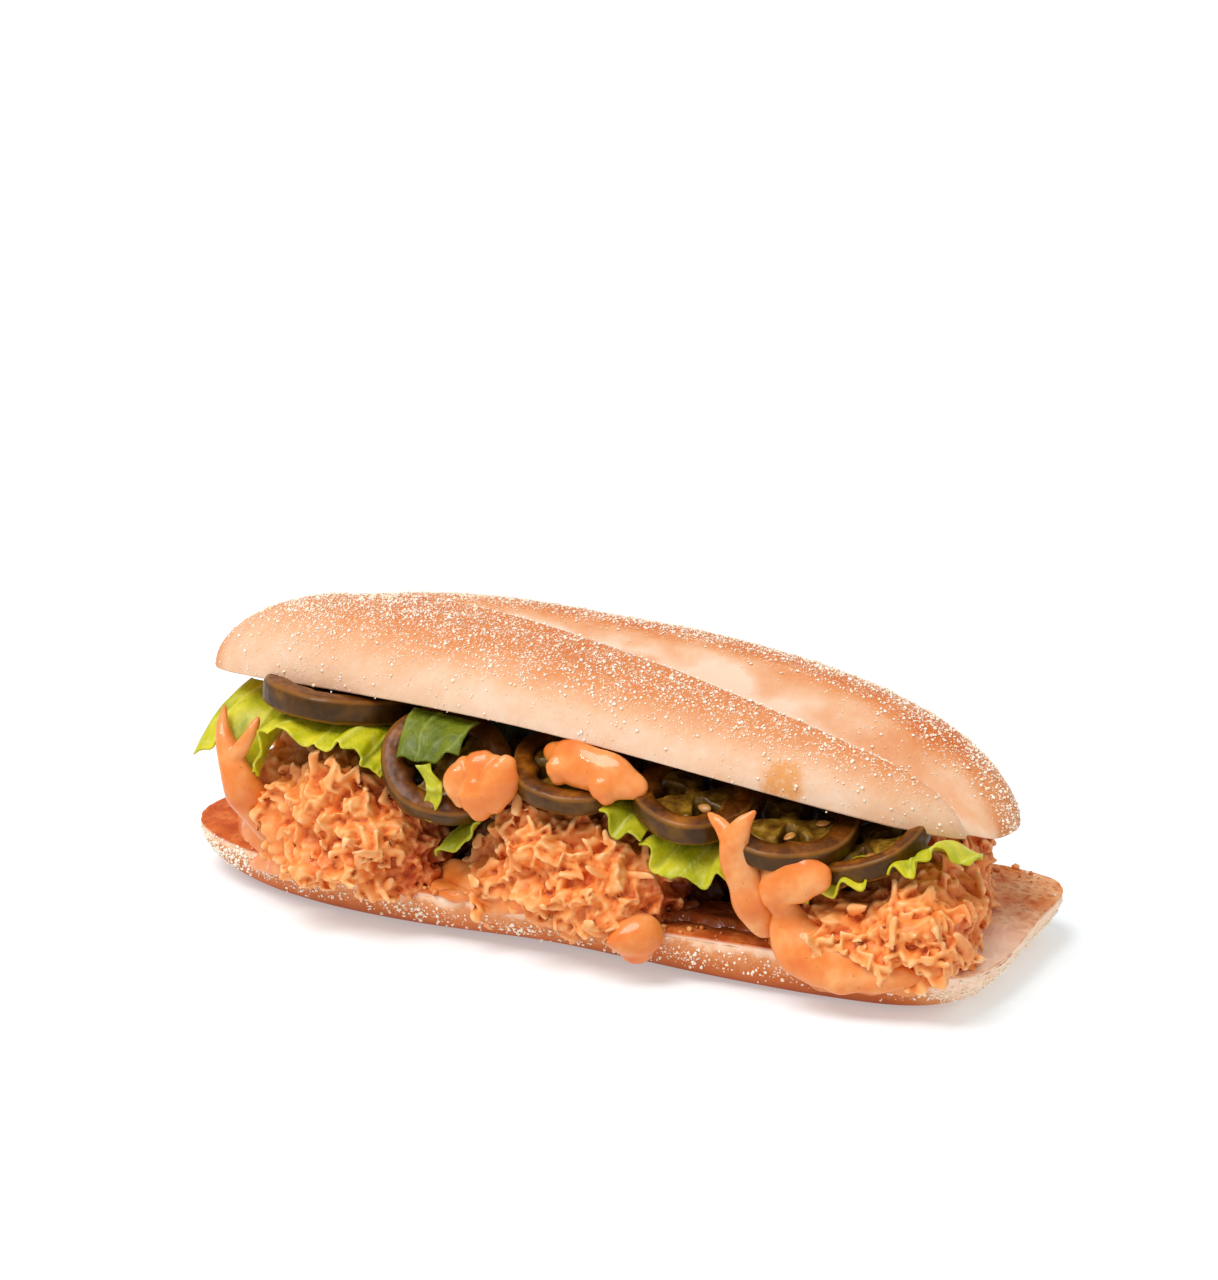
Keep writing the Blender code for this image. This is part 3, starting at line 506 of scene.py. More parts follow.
class Nodes:
    """Builds one material's node tree around its Principled shader."""

    def __init__(self, name: str) -> None:
        """Start a material with an empty Principled shader."""
        self.material = bpy.data.materials.new(name)
        self.material.use_nodes = True
        self.tree = self.material.node_tree
        self.shader = self.tree.nodes["Principled BSDF"]

    def add(self, kind: str, settings: dict | None = None, inputs: dict | None = None,
            output: str | int = 0) -> Value:
        """Add any node.

        Args:
            kind: the node's type.
            settings: properties of the node, set first; "stops" gives a colour ramp's stops.
            inputs: socket names or numbers with values, or with Values to link.
            output: which output to return.

        Returns:
            The output, wrapped.
        """
        node = self.tree.nodes.new(kind)
        for key, setting in (settings or {}).items():
            if key == "stops":
                self.set_stops(node.color_ramp, setting)
            else:
                setattr(node, key, setting)
        for key, given in (inputs or {}).items():
            socket = node.inputs[key]
            if isinstance(given, Value):
                given = given.source
            if isinstance(given, bpy.types.NodeSocket):
                self.tree.links.new(given, socket)
            else:
                socket.default_value = given
        return Value(self, node.outputs[output])

    @staticmethod
    def set_stops(ramp: bpy.types.ColorRamp, stops: tuple) -> None:
        """Replace a ramp's stops by (place, colour) pairs."""
        ramp.elements.remove(ramp.elements[-1])
        for place, colour in stops[1:]:
            ramp.elements.new(place).color = (*colour, 1.0)
        ramp.elements[0].position = stops[0][0]
        ramp.elements[0].color = (*stops[0][1], 1.0)

    def object_place(self) -> Value:
        """Object coordinates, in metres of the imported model."""
        return self.add("ShaderNodeTexCoord", output="Object")

    def attribute(self, name: str) -> Value:
        """A number stored on the mesh's points."""
        return self.add("ShaderNodeAttribute", {"attribute_name": name}, output="Fac")

    def noise(self, size_mm: float, detail: float = 3.0, warp: float = 0.0) -> Value:
        """Cloudy noise with features of about this size, 0 to 1."""
        return self.add("ShaderNodeTexNoise", {}, {
            "Vector": self.object_place(), "Scale": 1.0 / (size_mm * MM), "Detail": detail,
            "Roughness": 0.55, "Distortion": warp})

    def cells(self, size_mm: float) -> Value:
        """Distance to scattered points about this far apart, 0 at each point."""
        return self.add("ShaderNodeTexVoronoi", {"feature": "F1"}, {
            "Vector": self.object_place(), "Scale": 1.0 / (size_mm * MM)})

    def ramp(self, factor: Value, stops: tuple) -> Value:
        """Colours along a number from 0 to 1."""
        return self.add("ShaderNodeValToRGB", {"stops": stops}, {"Fac": factor})

    def mix(self, factor: object, first: object, second: object, blend: str = "MIX") -> Value:
        """Blend two colours; a plain tuple is a colour too."""
        return self.add("ShaderNodeMix", {"data_type": "RGBA", "blend_type": blend}, {
            0: factor, 6: self.colour(first), 7: self.colour(second)}, output=2)

    @staticmethod
    def colour(given: object) -> object:
        """Give a plain tuple its alpha."""
        return (*given, 1.0) if isinstance(given, tuple) else given

    def shaded(self, colour: Value, strength: float) -> Value:
        """Painted shade: darken a colour towards near black brown where the mesh's inside number is large,
        standing in for the shade deep in a roll.
        """
        return self.mix(self.attribute("inside") * strength, colour, srgb(26, 12, 8))

    def relief(self, height: Value, distance_mm: float, strength: float, under: Value | None = None) -> Value:
        """Bump from a height of 0 to 1.

        Args:
            height: the height.
            distance_mm: what a height of 1 stands for.
            strength: how much of the bump is shown, from 0 to 1.
            under: another bump that this one lies on.

        Returns:
            The bent normal.
        """
        inputs = {"Height": height, "Distance": distance_mm * MM, "Strength": strength}
        if under is not None:
            inputs["Normal"] = under
        return self.add("ShaderNodeBump", {}, inputs)

    def finish(self, **sockets: object) -> bpy.types.Material:
        """Set or link the shader's sockets, named with underscores, and return the material."""
        for name, given in sockets.items():
            socket = self.shader.inputs[name.replace("_", " ")]
            if isinstance(given, Value):
                self.tree.links.new(given.source, socket)
            else:
                socket.default_value = self.colour(given) if socket.type == "RGBA" else given
        return self.material


def srgb(red: int, green: int, blue: int) -> tuple[float, float, float]:
    """Turn a colour as seen on a screen, 0 to 255, into the linear light that shaders use."""
    shares = (value / 255.0 for value in (red, green, blue))
    return tuple(share / 12.92 if share <= 0.04045 else ((share + 0.055) / 1.055) ** 2.4 for share in shares)


def blended(first: tuple, second: tuple, share: float) -> tuple:
    """Mix two plain colours in linear light."""
    return tuple(a + (b - a) * share for a, b in zip(first, second))


# The roll

@dataclass(frozen=True)
class CrownForm:
    """Outline, tilt and score of the roll's top half, in millimetres."""

    half_length: float = 95.5
    half_width: float = 35.0
    left_squareness: float = 3.6
    right_squareness: float = 2.5
    middle: tuple = (3.0, 1.0, 48.5)
    yaw: float = -0.05
    pitch: float = -0.081
    roll: float = -0.08
    arch: float = 8.0
    hollow: float = 1.2
    near_ridge: tuple = (16.5, -4.6, 2.8)
    far_crest: tuple = (17.2, 2.8, 4.2)
    near_ridge_y: float = -14.0
    far_crest_y: float = 8.0
    score_depth: float = 9.5
    score_near_width: float = 2.8
    score_far_width: float = 10.0
    score_notch: float = 0.03
    notch_width: float = 2.4
    score_start: float = -2.0
    score_drift: float = -12.0
    score_return: float = 3.0
    lip: tuple = (0.9, -4.5, 2.4)
    rounding: tuple = (3.2, 0.55)
    fuller: tuple = (2.2, -0.11)
    edge_reach: float = 0.97
    outside_slope: float = 90.0

    def reach(self, x: Rows, y: Rows) -> Rows:
        """0 in the middle, 1 on the outline: the root of |x|^p + |y|^p, with another power at each end."""
        power = np.where(x < 0.0, self.left_squareness, self.right_squareness)
        across = np.abs(y / self.half_width) ** power
        return (np.abs(x / self.half_length) ** power + across) ** (1.0 / power)

    def half_width_at(self, x: Rows) -> Rows:
        """Half width of the outline: the width times the root of 1 - |x|^p."""
        power = np.where(x < 0.0, self.left_squareness, self.right_squareness)
        left_over = np.clip(1.0 - np.abs(x / self.half_length) ** power, 0.0, 1.0)
        return self.half_width * left_over ** (1.0 / power)

    def score_line(self, x: Rows) -> Rows:
        """Where the score runs: near the middle at the left, drifting to the near side at the right."""
        drift = self.score_drift * smooth_step(x, -70.0, 92.0)
        return self.score_start + drift + self.score_return * smooth_step(x, 64.0, 90.0)

    def near_height(self, x: Rows) -> Rows:
        """Height of the near lobe's ridge before it is rounded down at the ends."""
        u = x / self.half_length
        return self.near_ridge[0] + self.near_ridge[1] * u + self.near_ridge[2] * u * u

    def height(self, x: Rows, y: Rows) -> Rows:
        """Height over the cut face.

        Formula: a body that grades from the near ridge's height to the far crest's, with a low lip beside
        the score and less a bell-shaped score, times (1 - reach^3.2)^0.55, which rounds it down to the
        outline. On the near side of the right end both powers change, so that the lobe is fuller there.

        Args:
            x: places along the crown.
            y: places across it.

        Returns:
            Heights in millimetres.
        """
        u = x / self.half_length
        near = self.near_height(x)
        far = self.far_crest[0] + self.far_crest[1] * u + self.far_crest[2] * u * u
        body = near + (far - near) * smooth_step(y, self.near_ridge_y, self.far_crest_y)
        offset = y - self.score_line(x)
        full = smooth_step(x, 35.0, 80.0) * (1.0 - smooth_step(offset, -3.0, 3.0))
        power, flatness = (usual + more * full for usual, more in zip(self.rounding, self.fuller))
        rounding = np.clip(1.0 - self.reach(x, y) ** power, 0.0, 1.0) ** flatness
        lip_height, lip_place, lip_width = self.lip
        body = body + lip_height * bump(offset, lip_place, lip_width) * smooth_step(x, -70.0, -40.0)
        width = np.where(offset < 0.0, self.score_near_width, self.score_far_width)
        score = self.score_depth * bump(offset, 0.0, width) * smooth_step(x, -82.0, -45.0)
        return rounding * (body - score)

    def cut_face(self, x: Rows, y: Rows) -> Rows:
        """Height of the tilted, arched cut face, in the drawing."""
        return self.middle[2] + x * self.pitch + y * self.roll - self.arch * (x / self.half_length) ** 2

    def placed(self, x: Rows, y: Rows, height: Rows) -> Rows:
        """Turn, tilt and arch the crown's own frame into the drawing's."""
        turn_cos, turn_sin = math.cos(self.yaw), math.sin(self.yaw)
        return np.stack([x * turn_cos - y * turn_sin + self.middle[0],
                         x * turn_sin + y * turn_cos + self.middle[1], self.cut_face(x, y) + height], axis=-1)

    def underside(self, world_x: Rows, world_y: Rows) -> tuple[Rows, Rows]:
        """Height of the cut face over a point of the drawing, and how near that is to the outline.

        Args:
            world_x: places along the drawing.
            world_y: places across it.

        Returns:
            Heights, and numbers that are 0 in the crown's middle and 1 on its outline.
        """
        turn_cos, turn_sin = math.cos(self.yaw), math.sin(self.yaw)
        from_x, from_y = world_x - self.middle[0], world_y - self.middle[1]
        x = from_x * turn_cos + from_y * turn_sin
        y = from_y * turn_cos - from_x * turn_sin
        return self.cut_face(x, y), self.reach(x, y)

    def ceiling(self, world_x: Rows, world_y: Rows, room: Rows | float) -> Rows:
        """Greatest height that leaves this much room under the crown; past its outline it rises steeply."""
        roof, reach = self.underside(world_x, world_y)
        return roof - room + self.outside_slope * np.clip(reach - self.edge_reach, 0.0, 1.0)


@dataclass(frozen=True)
class CrustPlaces:
    """Where points of the crown's crust lie.

    x is the way along it; offset the distance from the score's line, below 0 on the near side; level the
    share of the near ridge's height; far_rise the share of the way from the score to the far edge; behind
    is 0 before the far crest and 1 past it; flat has rows for noise that doesn't stretch down the sides.
    """

    x: Rows
    offset: Rows
    level: Rows
    far_rise: Rows
    behind: Rows
    flat: Rows


@dataclass
class Crown:
    """The top bun: two baked lobes along a pale score, dusted with semolina."""

    place: Place
    form: CrownForm
    rows: int = 350
    columns: int = 270
    near_share: float = 0.40
    far_share: float = 0.42
    # share of each loop past which the crust, on the cut face, takes painted shade
    soaked_from: float = 0.8
    cut_bake: float = 0.45
    stain_middle: tuple = (58.5, -34.0, 47.2)
    stain_size: tuple = (5.4, 7.0, 4.6)
    dust_power: float = 1.3

    def build(self) -> list[bpy.types.Object]:
        """Make the crust and its dusting."""
        along_x, round_x = pairs(inner_steps(self.rows), np.arange(self.columns) / self.columns,
                                 (0.0, 0.0), (1.0, 0.0))
        points, bake, dust = self.surface(along_x, round_x)
        # painted shade: the cut face is darkened by how deep inside the roll it lies
        underneath = np.arange(len(points)) % self.columns > self.soaked_from * self.columns
        away = np.linalg.norm((points - self.stain_middle) / self.stain_size, axis=1)
        crust = grid_piece(
            "top_bun_crust", self.place.metres(points), self.rows, self.columns, Wrap.BALL,
            CrustFinish("top crust", BunSide.TOP).material(), inside=inside(points) * underneath,
            stain=1.0 - smooth_step(away + 0.35 * cloudy(points, 4.0, 51), 0.7, 1.15), bake=bake, dust=dust)
        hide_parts("top_bun")
        dusting = [kind.scatter(crust, dust**self.dust_power) for kind in (TOP_SEMOLINA, FINE_SEMOLINA)]
        return [crust, *dusting]

    def surface(self, along_x: Rows, round_x: Rows) -> tuple[Rows, Rows, Rows]:
        """Points of the crust, how baked each is and how thickly it is dusted.

        Formula: x is -cos of pi times the first parameter times the half length. The second runs over both
        lobes and back along the cut face, each by a cosine that slows down at its ends. Height comes from
        the crown's form, plus noise for puckers, torn score and crumb.

        Args:
            along_x: 0 at the left tip, 1 at the right.
            round_x: 0 at the near edge, going up and over.

        Returns:
            Rows in millimetres of the drawing, and two numbers from 0 to about 1 for each.
        """
        form = self.form
        x = -np.cos(math.pi * along_x) * form.half_length
        half, line = form.half_width_at(x), form.score_line(x)
        valley = np.clip(line, -0.7 * half, 0.7 * half)
        far_end = self.near_share + self.far_share
        near = np.clip(round_x / self.near_share, 0.0, 1.0)
        far = np.clip((round_x - self.near_share) / self.far_share, 0.0, 1.0)
        under = np.clip((round_x - far_end) / (1.0 - far_end), 0.0, 1.0)
        near_y = -half + (valley + half) * 0.5 * (1.0 - np.cos(math.pi * near))
        far_y = valley + (half - valley) * 0.5 * (1.0 - np.cos(math.pi * far))
        under_y = half * np.cos(math.pi * under)
        y = np.where(round_x < self.near_share, near_y, np.where(round_x < far_end, far_y, under_y))
        offset = y - line
        off_edge = np.clip(1.0 - form.reach(x, y) ** 4, 0.0, 1.0)
        on_top = round_x < far_end
        height = np.where(on_top, form.height(x, y), form.hollow * off_edge)
        notch = form.score_notch * bump(offset, 0.0, form.notch_width) * smooth_step(x, 40.0, 92.0)
        points = form.placed(x * (1.0 - notch), y, height)
        flat = np.stack([x, y, 0.3 * height], axis=-1)
        in_score = bump(offset - 2.0, 0.0, 5.0) * smooth_step(x, -82.0, -45.0)
        pucker = 0.35 * cloudy(flat, 14.0, 3) + 0.12 * cloudy(flat, 4.0, 5) + 0.05 * cloudy(flat, 1.3, 6, 2)
        torn = 0.5 * (ridged(flat * (0.45, 1.0, 1.0), 7.0, 8) - 0.4)
        crumb = 0.7 * cloudy(flat, 3.0, 9)
        points[:, 2] += np.where(on_top, pucker * off_edge + torn * in_score * off_edge, crumb * off_edge)
        points[:, 1] += 0.25 * cloudy(points, 10.0, 12) * (1.0 - off_edge) * np.sign(y)
        at = CrustPlaces(
            x, offset, np.clip(height / form.near_height(x), 0.0, 1.0),
            np.clip(offset / np.maximum(half - line, 1.0), 0.0, 1.0),
            smooth_step(y, form.far_crest_y - 2.0, form.far_crest_y + 6.0), flat)
        return (points, np.where(on_top, self.baked(at), self.cut_bake),
                np.where(on_top, self.dusted(at), 0.0))

    def baked(self, at: CrustPlaces) -> Rows:
        """How baked the upper crust is.

        Formula: it browns from the near lobe's foot to its ridge. The score's far wall is pale, browns
        quickly where the skin begins, and is like the near lobe behind the far crest. Noise clouds it, the
        left tip is dark, and a broken pale streak runs along the score.

        Args:
            at: where the points lie.

        Returns:
            Numbers up to 1; below 0 is raw crumb.
        """
        side = 0.2 + 0.62 * smooth_step(at.level, 0.3, 1.0) - 0.12 * bump(at.x, 15.0, 60.0) * (1.0 - at.level)
        wall = 0.34 + 0.08 * smooth_step(at.x, 55.0, 80.0) + 0.46 * smooth_step(at.far_rise, 0.24, 0.42)
        wall = wall + 0.3 * cloudy(at.flat * (0.5, 1.0, 1.0), 6.0, 18)
        far = wall + (side - wall) * at.behind - 0.22 * smooth_step(at.x, 76.0, 94.0)
        bake = np.maximum(np.where(at.offset < 0.0, side, far), 0.8 * smooth_step(-at.x, 80.0, 94.0))
        bake = np.clip(bake + 0.12 * cloudy(at.flat, 22.0, 15), 0.0, 1.0)
        streak = bump(at.offset, 6.5, 5.5) * smooth_step(at.x, -60.0, -30.0)
        streak = streak * (1.0 - smooth_step(at.x, 60.0, 76.0))
        return bake - 0.5 * streak * smooth_step(cloudy(at.flat * (0.4, 1.0, 1.0), 8.0, 16), -0.3, 0.3)

    def dusted(self, at: CrustPlaces) -> Rows:
        """How thickly the upper crust is dusted.

        Formula: the dust thickens from the near lobe's foot to its ridge and from the score's wall to the
        far skin, and towards the left. Little lies in the score, and noise makes it patchy.

        Args:
            at: where the points lie.

        Returns:
            Numbers from 0.02 to 1.2.
        """
        side = 0.14 + 0.86 * smooth_step(at.level, 0.3, 0.92)
        wall = 0.04 + 0.22 * smooth_step(at.x, 52.0, 74.0) + 0.7 * smooth_step(at.far_rise, 0.26, 0.42)
        dust = np.where(at.offset < 0.0, side, wall + (side - wall) * at.behind)
        dust = dust * (1.0 - 0.8 * bump(at.offset, 4.0, 5.0) * smooth_step(at.x, -40.0, 0.0))
        dust = dust * (0.8 + 0.35 * smooth_step(-at.x, 0.0, 85.0)) * (0.85 + 0.5 * cloudy(at.flat, 7.0, 17))
        return np.clip(dust, 0.02, 1.2)


def melt(body: bpy.types.Object, others: list[bpy.types.Object], cell: float) -> None:
    """Melt pieces into a body: all of them become one skin of even cells, which keeps their attributes.

    Args:
        body: the object that is kept, with its material.
        others: objects that lie partly inside it; they are used up.
        cell: size of a cell in metres; nothing finer is kept.
    """
    for other in others:
        other.data.materials.append(body.data.materials[0])
    both = [body, *others]
    with bpy.context.temp_override(active_object=body, object=body, selected_objects=both,
                                   selected_editable_objects=both):
        bpy.ops.object.join()
    body.data.remesh_voxel_size = cell
    body.data.use_remesh_preserve_attributes = True
    with bpy.context.temp_override(active_object=body, object=body, selected_objects=[body]):
        bpy.ops.object.voxel_remesh()
    body.data.shade_smooth()


def smoothed_points(thing: bpy.types.Object, rounds: int) -> Rows:
    """Where the points would be if the surface were smoothed; the surface itself stays as it is.

    Args:
        thing: the object.
        rounds: how many times each point moves halfway to the middle of its neighbours.

    Returns:
        Rows of x, y, z.
    """
    smooth = thing.modifiers.new("Smooth", "SMOOTH")
    smooth.factor, smooth.iterations = 0.5, rounds
    points = points_of(thing.evaluated_get(bpy.context.evaluated_depsgraph_get()))
    thing.modifiers.remove(smooth)
    return points


def area_round(thing: bpy.types.Object) -> Rows:
    """Area round each point: every face gives an equal part of its own to each of its corners.

    Args:
        thing: the object.

    Returns:
        One area for each point.
    """
    mesh = thing.data
    totals = read_numbers(mesh.polygons, "loop_total", np.int32)
    shares = np.repeat(read_numbers(mesh.polygons, "area", np.float32) / totals, totals)
    corners = read_numbers(mesh.loops, "vertex_index", np.int32)
    return np.bincount(corners, weights=shares, minlength=len(mesh.vertices))


def icosahedron() -> tuple[Rows, Rows]:
    """The twelve corners, from cyclic turns of (0, 1, golden ratio), and twenty faces of an icosahedron."""
    golden = (1.0 + math.sqrt(5.0)) / 2.0
    corners = np.array([(-1, golden, 0), (1, golden, 0), (-1, -golden, 0), (1, -golden, 0),
                        (0, -1, golden), (0, 1, golden), (0, -1, -golden), (0, 1, -golden),
                        (golden, 0, -1), (golden, 0, 1), (-golden, 0, -1), (-golden, 0, 1)], dtype=float)
    faces = np.array([(0, 11, 5), (0, 5, 1), (0, 1, 7), (0, 7, 10), (0, 10, 11), (1, 5, 9), (5, 11, 4),
                      (11, 10, 2), (10, 7, 6), (7, 1, 8), (3, 9, 4), (3, 4, 2), (3, 2, 6), (3, 6, 8),
                      (3, 8, 9), (4, 9, 5), (2, 4, 11), (6, 2, 10), (8, 6, 7), (9, 8, 1)])
    return unit(corners), faces


def octahedron() -> tuple[Rows, Rows]:
    """Six corners on the axes and the eight faces between them, for the finest grains."""
    corners = np.array([(1, 0, 0), (-1, 0, 0), (0, 1, 0), (0, -1, 0), (0, 0, 1), (0, 0, -1)], dtype=float)
    faces = np.array([(0, 2, 4), (2, 1, 4), (1, 3, 4), (3, 0, 4), (2, 0, 5), (1, 2, 5), (3, 1, 5), (0, 3, 5)])
    return corners, faces


def random_turns(rng: np.random.Generator, count: int) -> Rows:
    """Turning matrices drawn at random, from unit quaternions.

    Args:
        rng: where the numbers are drawn from.
        count: how many.

    Returns:
        One matrix of three rows each.
    """
    w, x, y, z = unit(rng.normal(size=(count, 4))).T
    return np.stack([
        np.stack([1 - 2 * (y * y + z * z), 2 * (x * y - z * w), 2 * (x * z + y * w)], axis=-1),
        np.stack([2 * (x * y + z * w), 1 - 2 * (x * x + z * z), 2 * (y * z - x * w)], axis=-1),
        np.stack([2 * (x * z - y * w), 2 * (y * z + x * w), 1 - 2 * (x * x + y * y)], axis=-1)], axis=1)


@dataclass(frozen=True)
class GrainFinish:
    """Small grains: colours spread among them by soft noise, with light inside where they are clear."""

    name: str
    size_mm: float
    detail: float
    stops: tuple
    roughness: float
    clearness: float = 0.0

    def material(self) -> bpy.types.Material:
        """Build the grains' material once, for all the pieces that share it."""
        if self.name in bpy.data.materials:
            return bpy.data.materials[self.name]
        nodes = Nodes(self.name)
        colour = nodes.ramp(nodes.noise(self.size_mm, self.detail), self.stops)
        return nodes.finish(Base_Color=colour, Roughness=self.roughness, Subsurface_Weight=self.clearness,
                            Subsurface_Radius=(0.001, 0.0008, 0.0005))


@dataclass(frozen=True)
class Grains:
    """Many small angular grains: how many, their smallest and largest radius in millimetres, and finish."""

    name: str
    count: int
    sizes: tuple
    solid: tuple
    finish: GrainFinish
    seed: int
    spread: float = 0.95
    proud: float = 0.45

    def scatter(self, carrier: bpy.types.Object, density: Rows) -> bpy.types.Object:
        """Sink the grains a little into a surface, as one mesh.

        Formula: points of the carrier are drawn with chances in proportion to the density times the area
        round them, moved a little aside, and each gets the small solid, stretched and turned at random.

        Args:
            carrier: the surface that carries them.
            density: how thick they lie at each of its points.

        Returns:
            The piece.
        """
        rng = np.random.default_rng(self.seed)
        count, (smallest, largest) = self.count, self.sizes
        points, normals = points_of(carrier), normals_of(carrier)
        weights = density * area_round(carrier)
        chosen = rng.choice(len(points), size=count, p=weights / weights.sum())
        sides = unit(np.cross(normals[chosen], rng.normal(size=(count, 3))))
        aside = rng.uniform(0.0, self.spread, (count, 1)) * MM
        radius = (smallest + (largest - smallest) * rng.uniform(0.0, 1.0, (count, 1)) ** 2) * MM
        centres = points[chosen] + sides * aside + normals[chosen] * radius * self.proud
        corners, faces = self.solid
        stretch = rng.uniform(0.65, 1.25, (count, 1, 3))
        turned = np.einsum("nij,kj->nki", random_turns(rng, count), corners)
        jag = rng.uniform(0.85, 1.15, (count, len(corners), 1))
        places = centres[:, None, :] + turned * jag * stretch * radius[:, None, :]
        piece = make_mesh(self.name, places.reshape(-1, 3), NO_QUADS, copies(faces, len(corners), count))
        piece.data.materials.append(self.finish.material())
        return piece


SEMOLINA = GrainFinish("semolina", 1.1, 1.0, (
    (0.35, srgb(250, 226, 190)), (0.6, srgb(255, 248, 236))), 0.5, 0.15)
FRIED_CRUMB = GrainFinish("batter crumbs", 2.5, 1.0, (
    (0.35, srgb(190, 92, 34)), (0.5, srgb(226, 134, 62)), (0.65, srgb(242, 172, 100))), 0.45)
SEED_COAT = GrainFinish("pepper seeds", 1.5, 2.0, (
    (0.3, srgb(160, 96, 34)), (0.7, srgb(206, 146, 72))), 0.35)
TOP_SEMOLINA = Grains("top_bun_semolina", 4800, (0.2, 0.42), icosahedron(), SEMOLINA, 41)
FINE_SEMOLINA = Grains("top_bun_fine_semolina", 16000, (0.11, 0.25), octahedron(), SEMOLINA, 42)
SIDE_SEMOLINA = Grains("bottom_bun_semolina", 3000, (0.15, 0.46), icosahedron(), SEMOLINA, 43)
LOOSE_CRUMBS = Grains("batter_crumbs", 260, (0.3, 1.0), icosahedron(), FRIED_CRUMB, 44)


@dataclass
class Base:
    """The bottom bun: toasted cut face, pale band under its edge, and golden crust below."""

    place: Place
    left_length: float = 99.7
    right_length: float = 102.3
    half_width: float = 36.6
    height: float = 12.4
    undercut: float = 18.0
    left_squareness: float = 2.3
    right_squareness: float = 7.0
    rows: int = 280
    columns: int = 340
    edge_share: float = 0.56
    foot_share: float = 0.93
    edge_drop: float = 0.7
    corner_drop: float = 1.8
    crumb_reach: float = 94.0

    def build(self) -> list[bpy.types.Object]:
        """Make the lower half, the semolina on its side and loose crumbs on its cut face."""
        down, angle = pairs(inner_steps(self.rows), -turns(self.columns), (0.0, 0.0), (1.0, 0.0))
        points, toast, depth, dust = self.surface(down, angle)
        on_face = toast > 0.5
        # painted shade: the cut face darkens where it lies deep inside the roll, between the fillings
        crust = grid_piece(
            "bottom_bun_crust", self.place.metres(points), self.rows, self.columns, Wrap.BALL,
            CrustFinish("bottom crust", BunSide.BOTTOM).material(), toast=toast,
            inside=inside(points, 27.0, 37.0) * on_face, end=smooth_step(points[:, 0], 60.0, 95.0),
            bake=depth, dust=dust)
        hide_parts("bottom_bun")
        grains = SIDE_SEMOLINA.scatter(crust, dust)
        beside = smooth_step(np.abs(points[:, 1]), 22.0, 34.0) * (np.abs(points[:, 0]) < self.crumb_reach)
        crumbs = LOOSE_CRUMBS.scatter(crust, on_face * beside + 1e-6)
        return [crust, grains, crumbs]

    def outline(self, angle: Rows) -> tuple[Rows, Rows]:
        """Points of the outline: a superellipse, rounder and shorter at the left end than at the right.

        Args:
            angle: angle round the upright axis.

        Returns:
            Places along and across the drawing.
        """
        cos, sin = np.cos(angle), np.sin(angle)
        power = np.where(cos < 0.0, self.left_squareness, self.right_squareness)
        push = (np.abs(cos) ** power + np.abs(sin) ** power) ** (-1.0 / power)
        length = np.where(cos < 0.0, self.left_length, self.right_length)
        return length * cos * push, self.half_width * sin * push

    def surface(self, down: Rows, angle: Rows, rough: float = 1.0) -> tuple[Rows, Rows, Rows, Rows]:
        """Points of the lower half with how toasted, how deep below the edge and how dusted each is.

        Formula: going down, a point runs out over the cut face by a sine, follows a quarter of an ellipse
        down to the foot, and comes back in below. Noise gives crumb, pits and a ragged edge, and the near
        corner at the right is worn down and pale.

        Args:
            down: 0 in the middle of the cut face, 1 in the middle of the underside.
            angle: angle round the upright axis.
            rough: strength of the crumb on the cut face.

        Returns:
            Rows in millimetres of the drawing, and three numbers from 0 to about 1 for each.
        """
        out_x, out_y = self.outline(angle)
        on_face = down < self.edge_share
        face = np.sin(0.5 * math.pi * np.clip(down / self.edge_share, 0.0, 1.0))
        fall = np.clip((down - self.edge_share) / (self.foot_share - self.edge_share), 0.0, 1.0)
        bend = 0.5 * math.pi * fall
        share = np.where(on_face, face, np.clip((1.0 - down) / (1.0 - self.foot_share), 0.0, 1.0))
        reach = np.hypot(out_x, out_y)
        scale = share * (reach - self.undercut * (1.0 - np.cos(bend))) / reach
        uneven = waves(np.stack([out_x * share, out_y * share, 0.0 * share], axis=-1), 40.0, 2)
        top = self.height + 0.3 * uneven * (1.0 - share**4) - self.edge_drop * smooth_step(share, 0.94, 1.0)
        side = (self.height - self.edge_drop) * (1.0 - np.sin(bend))
        points = np.stack([out_x * scale, out_y * scale, np.where(on_face, top, side)], axis=-1)
        crumb = 0.55 * (ridged(points, 3.6, 21, 4) - 0.35) + 0.35 * cloudy(points, 9.0, 22)
        pits = -0.9 * smooth_step(cloudy(points, 2.6, 23, 2), 0.45, 0.8)
        points[:, 2] += np.where(on_face, (crumb + pits) * rough * smooth_step(1.0 - share, 0.0, 0.02), 0.0)
        ragged = 0.55 * cloudy(points * (1.0, 1.0, 2.5), 5.0, 24) * bump(fall, 0.0, 0.25)
        ragged = np.where(on_face, ragged * smooth_step(share, 0.9, 1.0), ragged)
        swell = ragged + 0.3 * cloudy(points, 12.0, 25) * np.where(on_face, 0.0, np.sin(2.0 * bend))
        way = np.stack([out_x, out_y, 0.0 * out_x], axis=-1) / reach[:, None]
        points += way * swell[:, None]
        corner = smooth_step(points[:, 0], 66.0, 96.0) * smooth_step(-points[:, 1], -16.0, 20.0)
        worn = corner * np.where(on_face, smooth_step(share, 0.78, 0.83), 1.0)
        sunk = np.where(on_face, smooth_step(share, 0.84, 1.0), 1.0 - fall)
        points[:, 2] -= self.corner_drop * corner * sunk
        points[:, 2] = np.maximum(points[:, 2], 0.0)
        toast = np.where(on_face, 1.0 - worn, 1.0 - smooth_step(fall, 0.0, 0.05))
        patchy = np.clip(0.6 + 0.8 * cloudy(points, 16.0, 27), 0.0, 1.0)
        left = smooth_step(-points[:, 0], 45.0, 80.0)
        dust = np.where(on_face, 0.004, bump(fall, 0.30 - 0.08 * left, 0.13) * patchy * (1.0 + 1.2 * left))
        depth = fall * (1.0 - 0.85 * smooth_step(points[:, 0], 80.0, 96.0))
        return points, toast, depth, dust


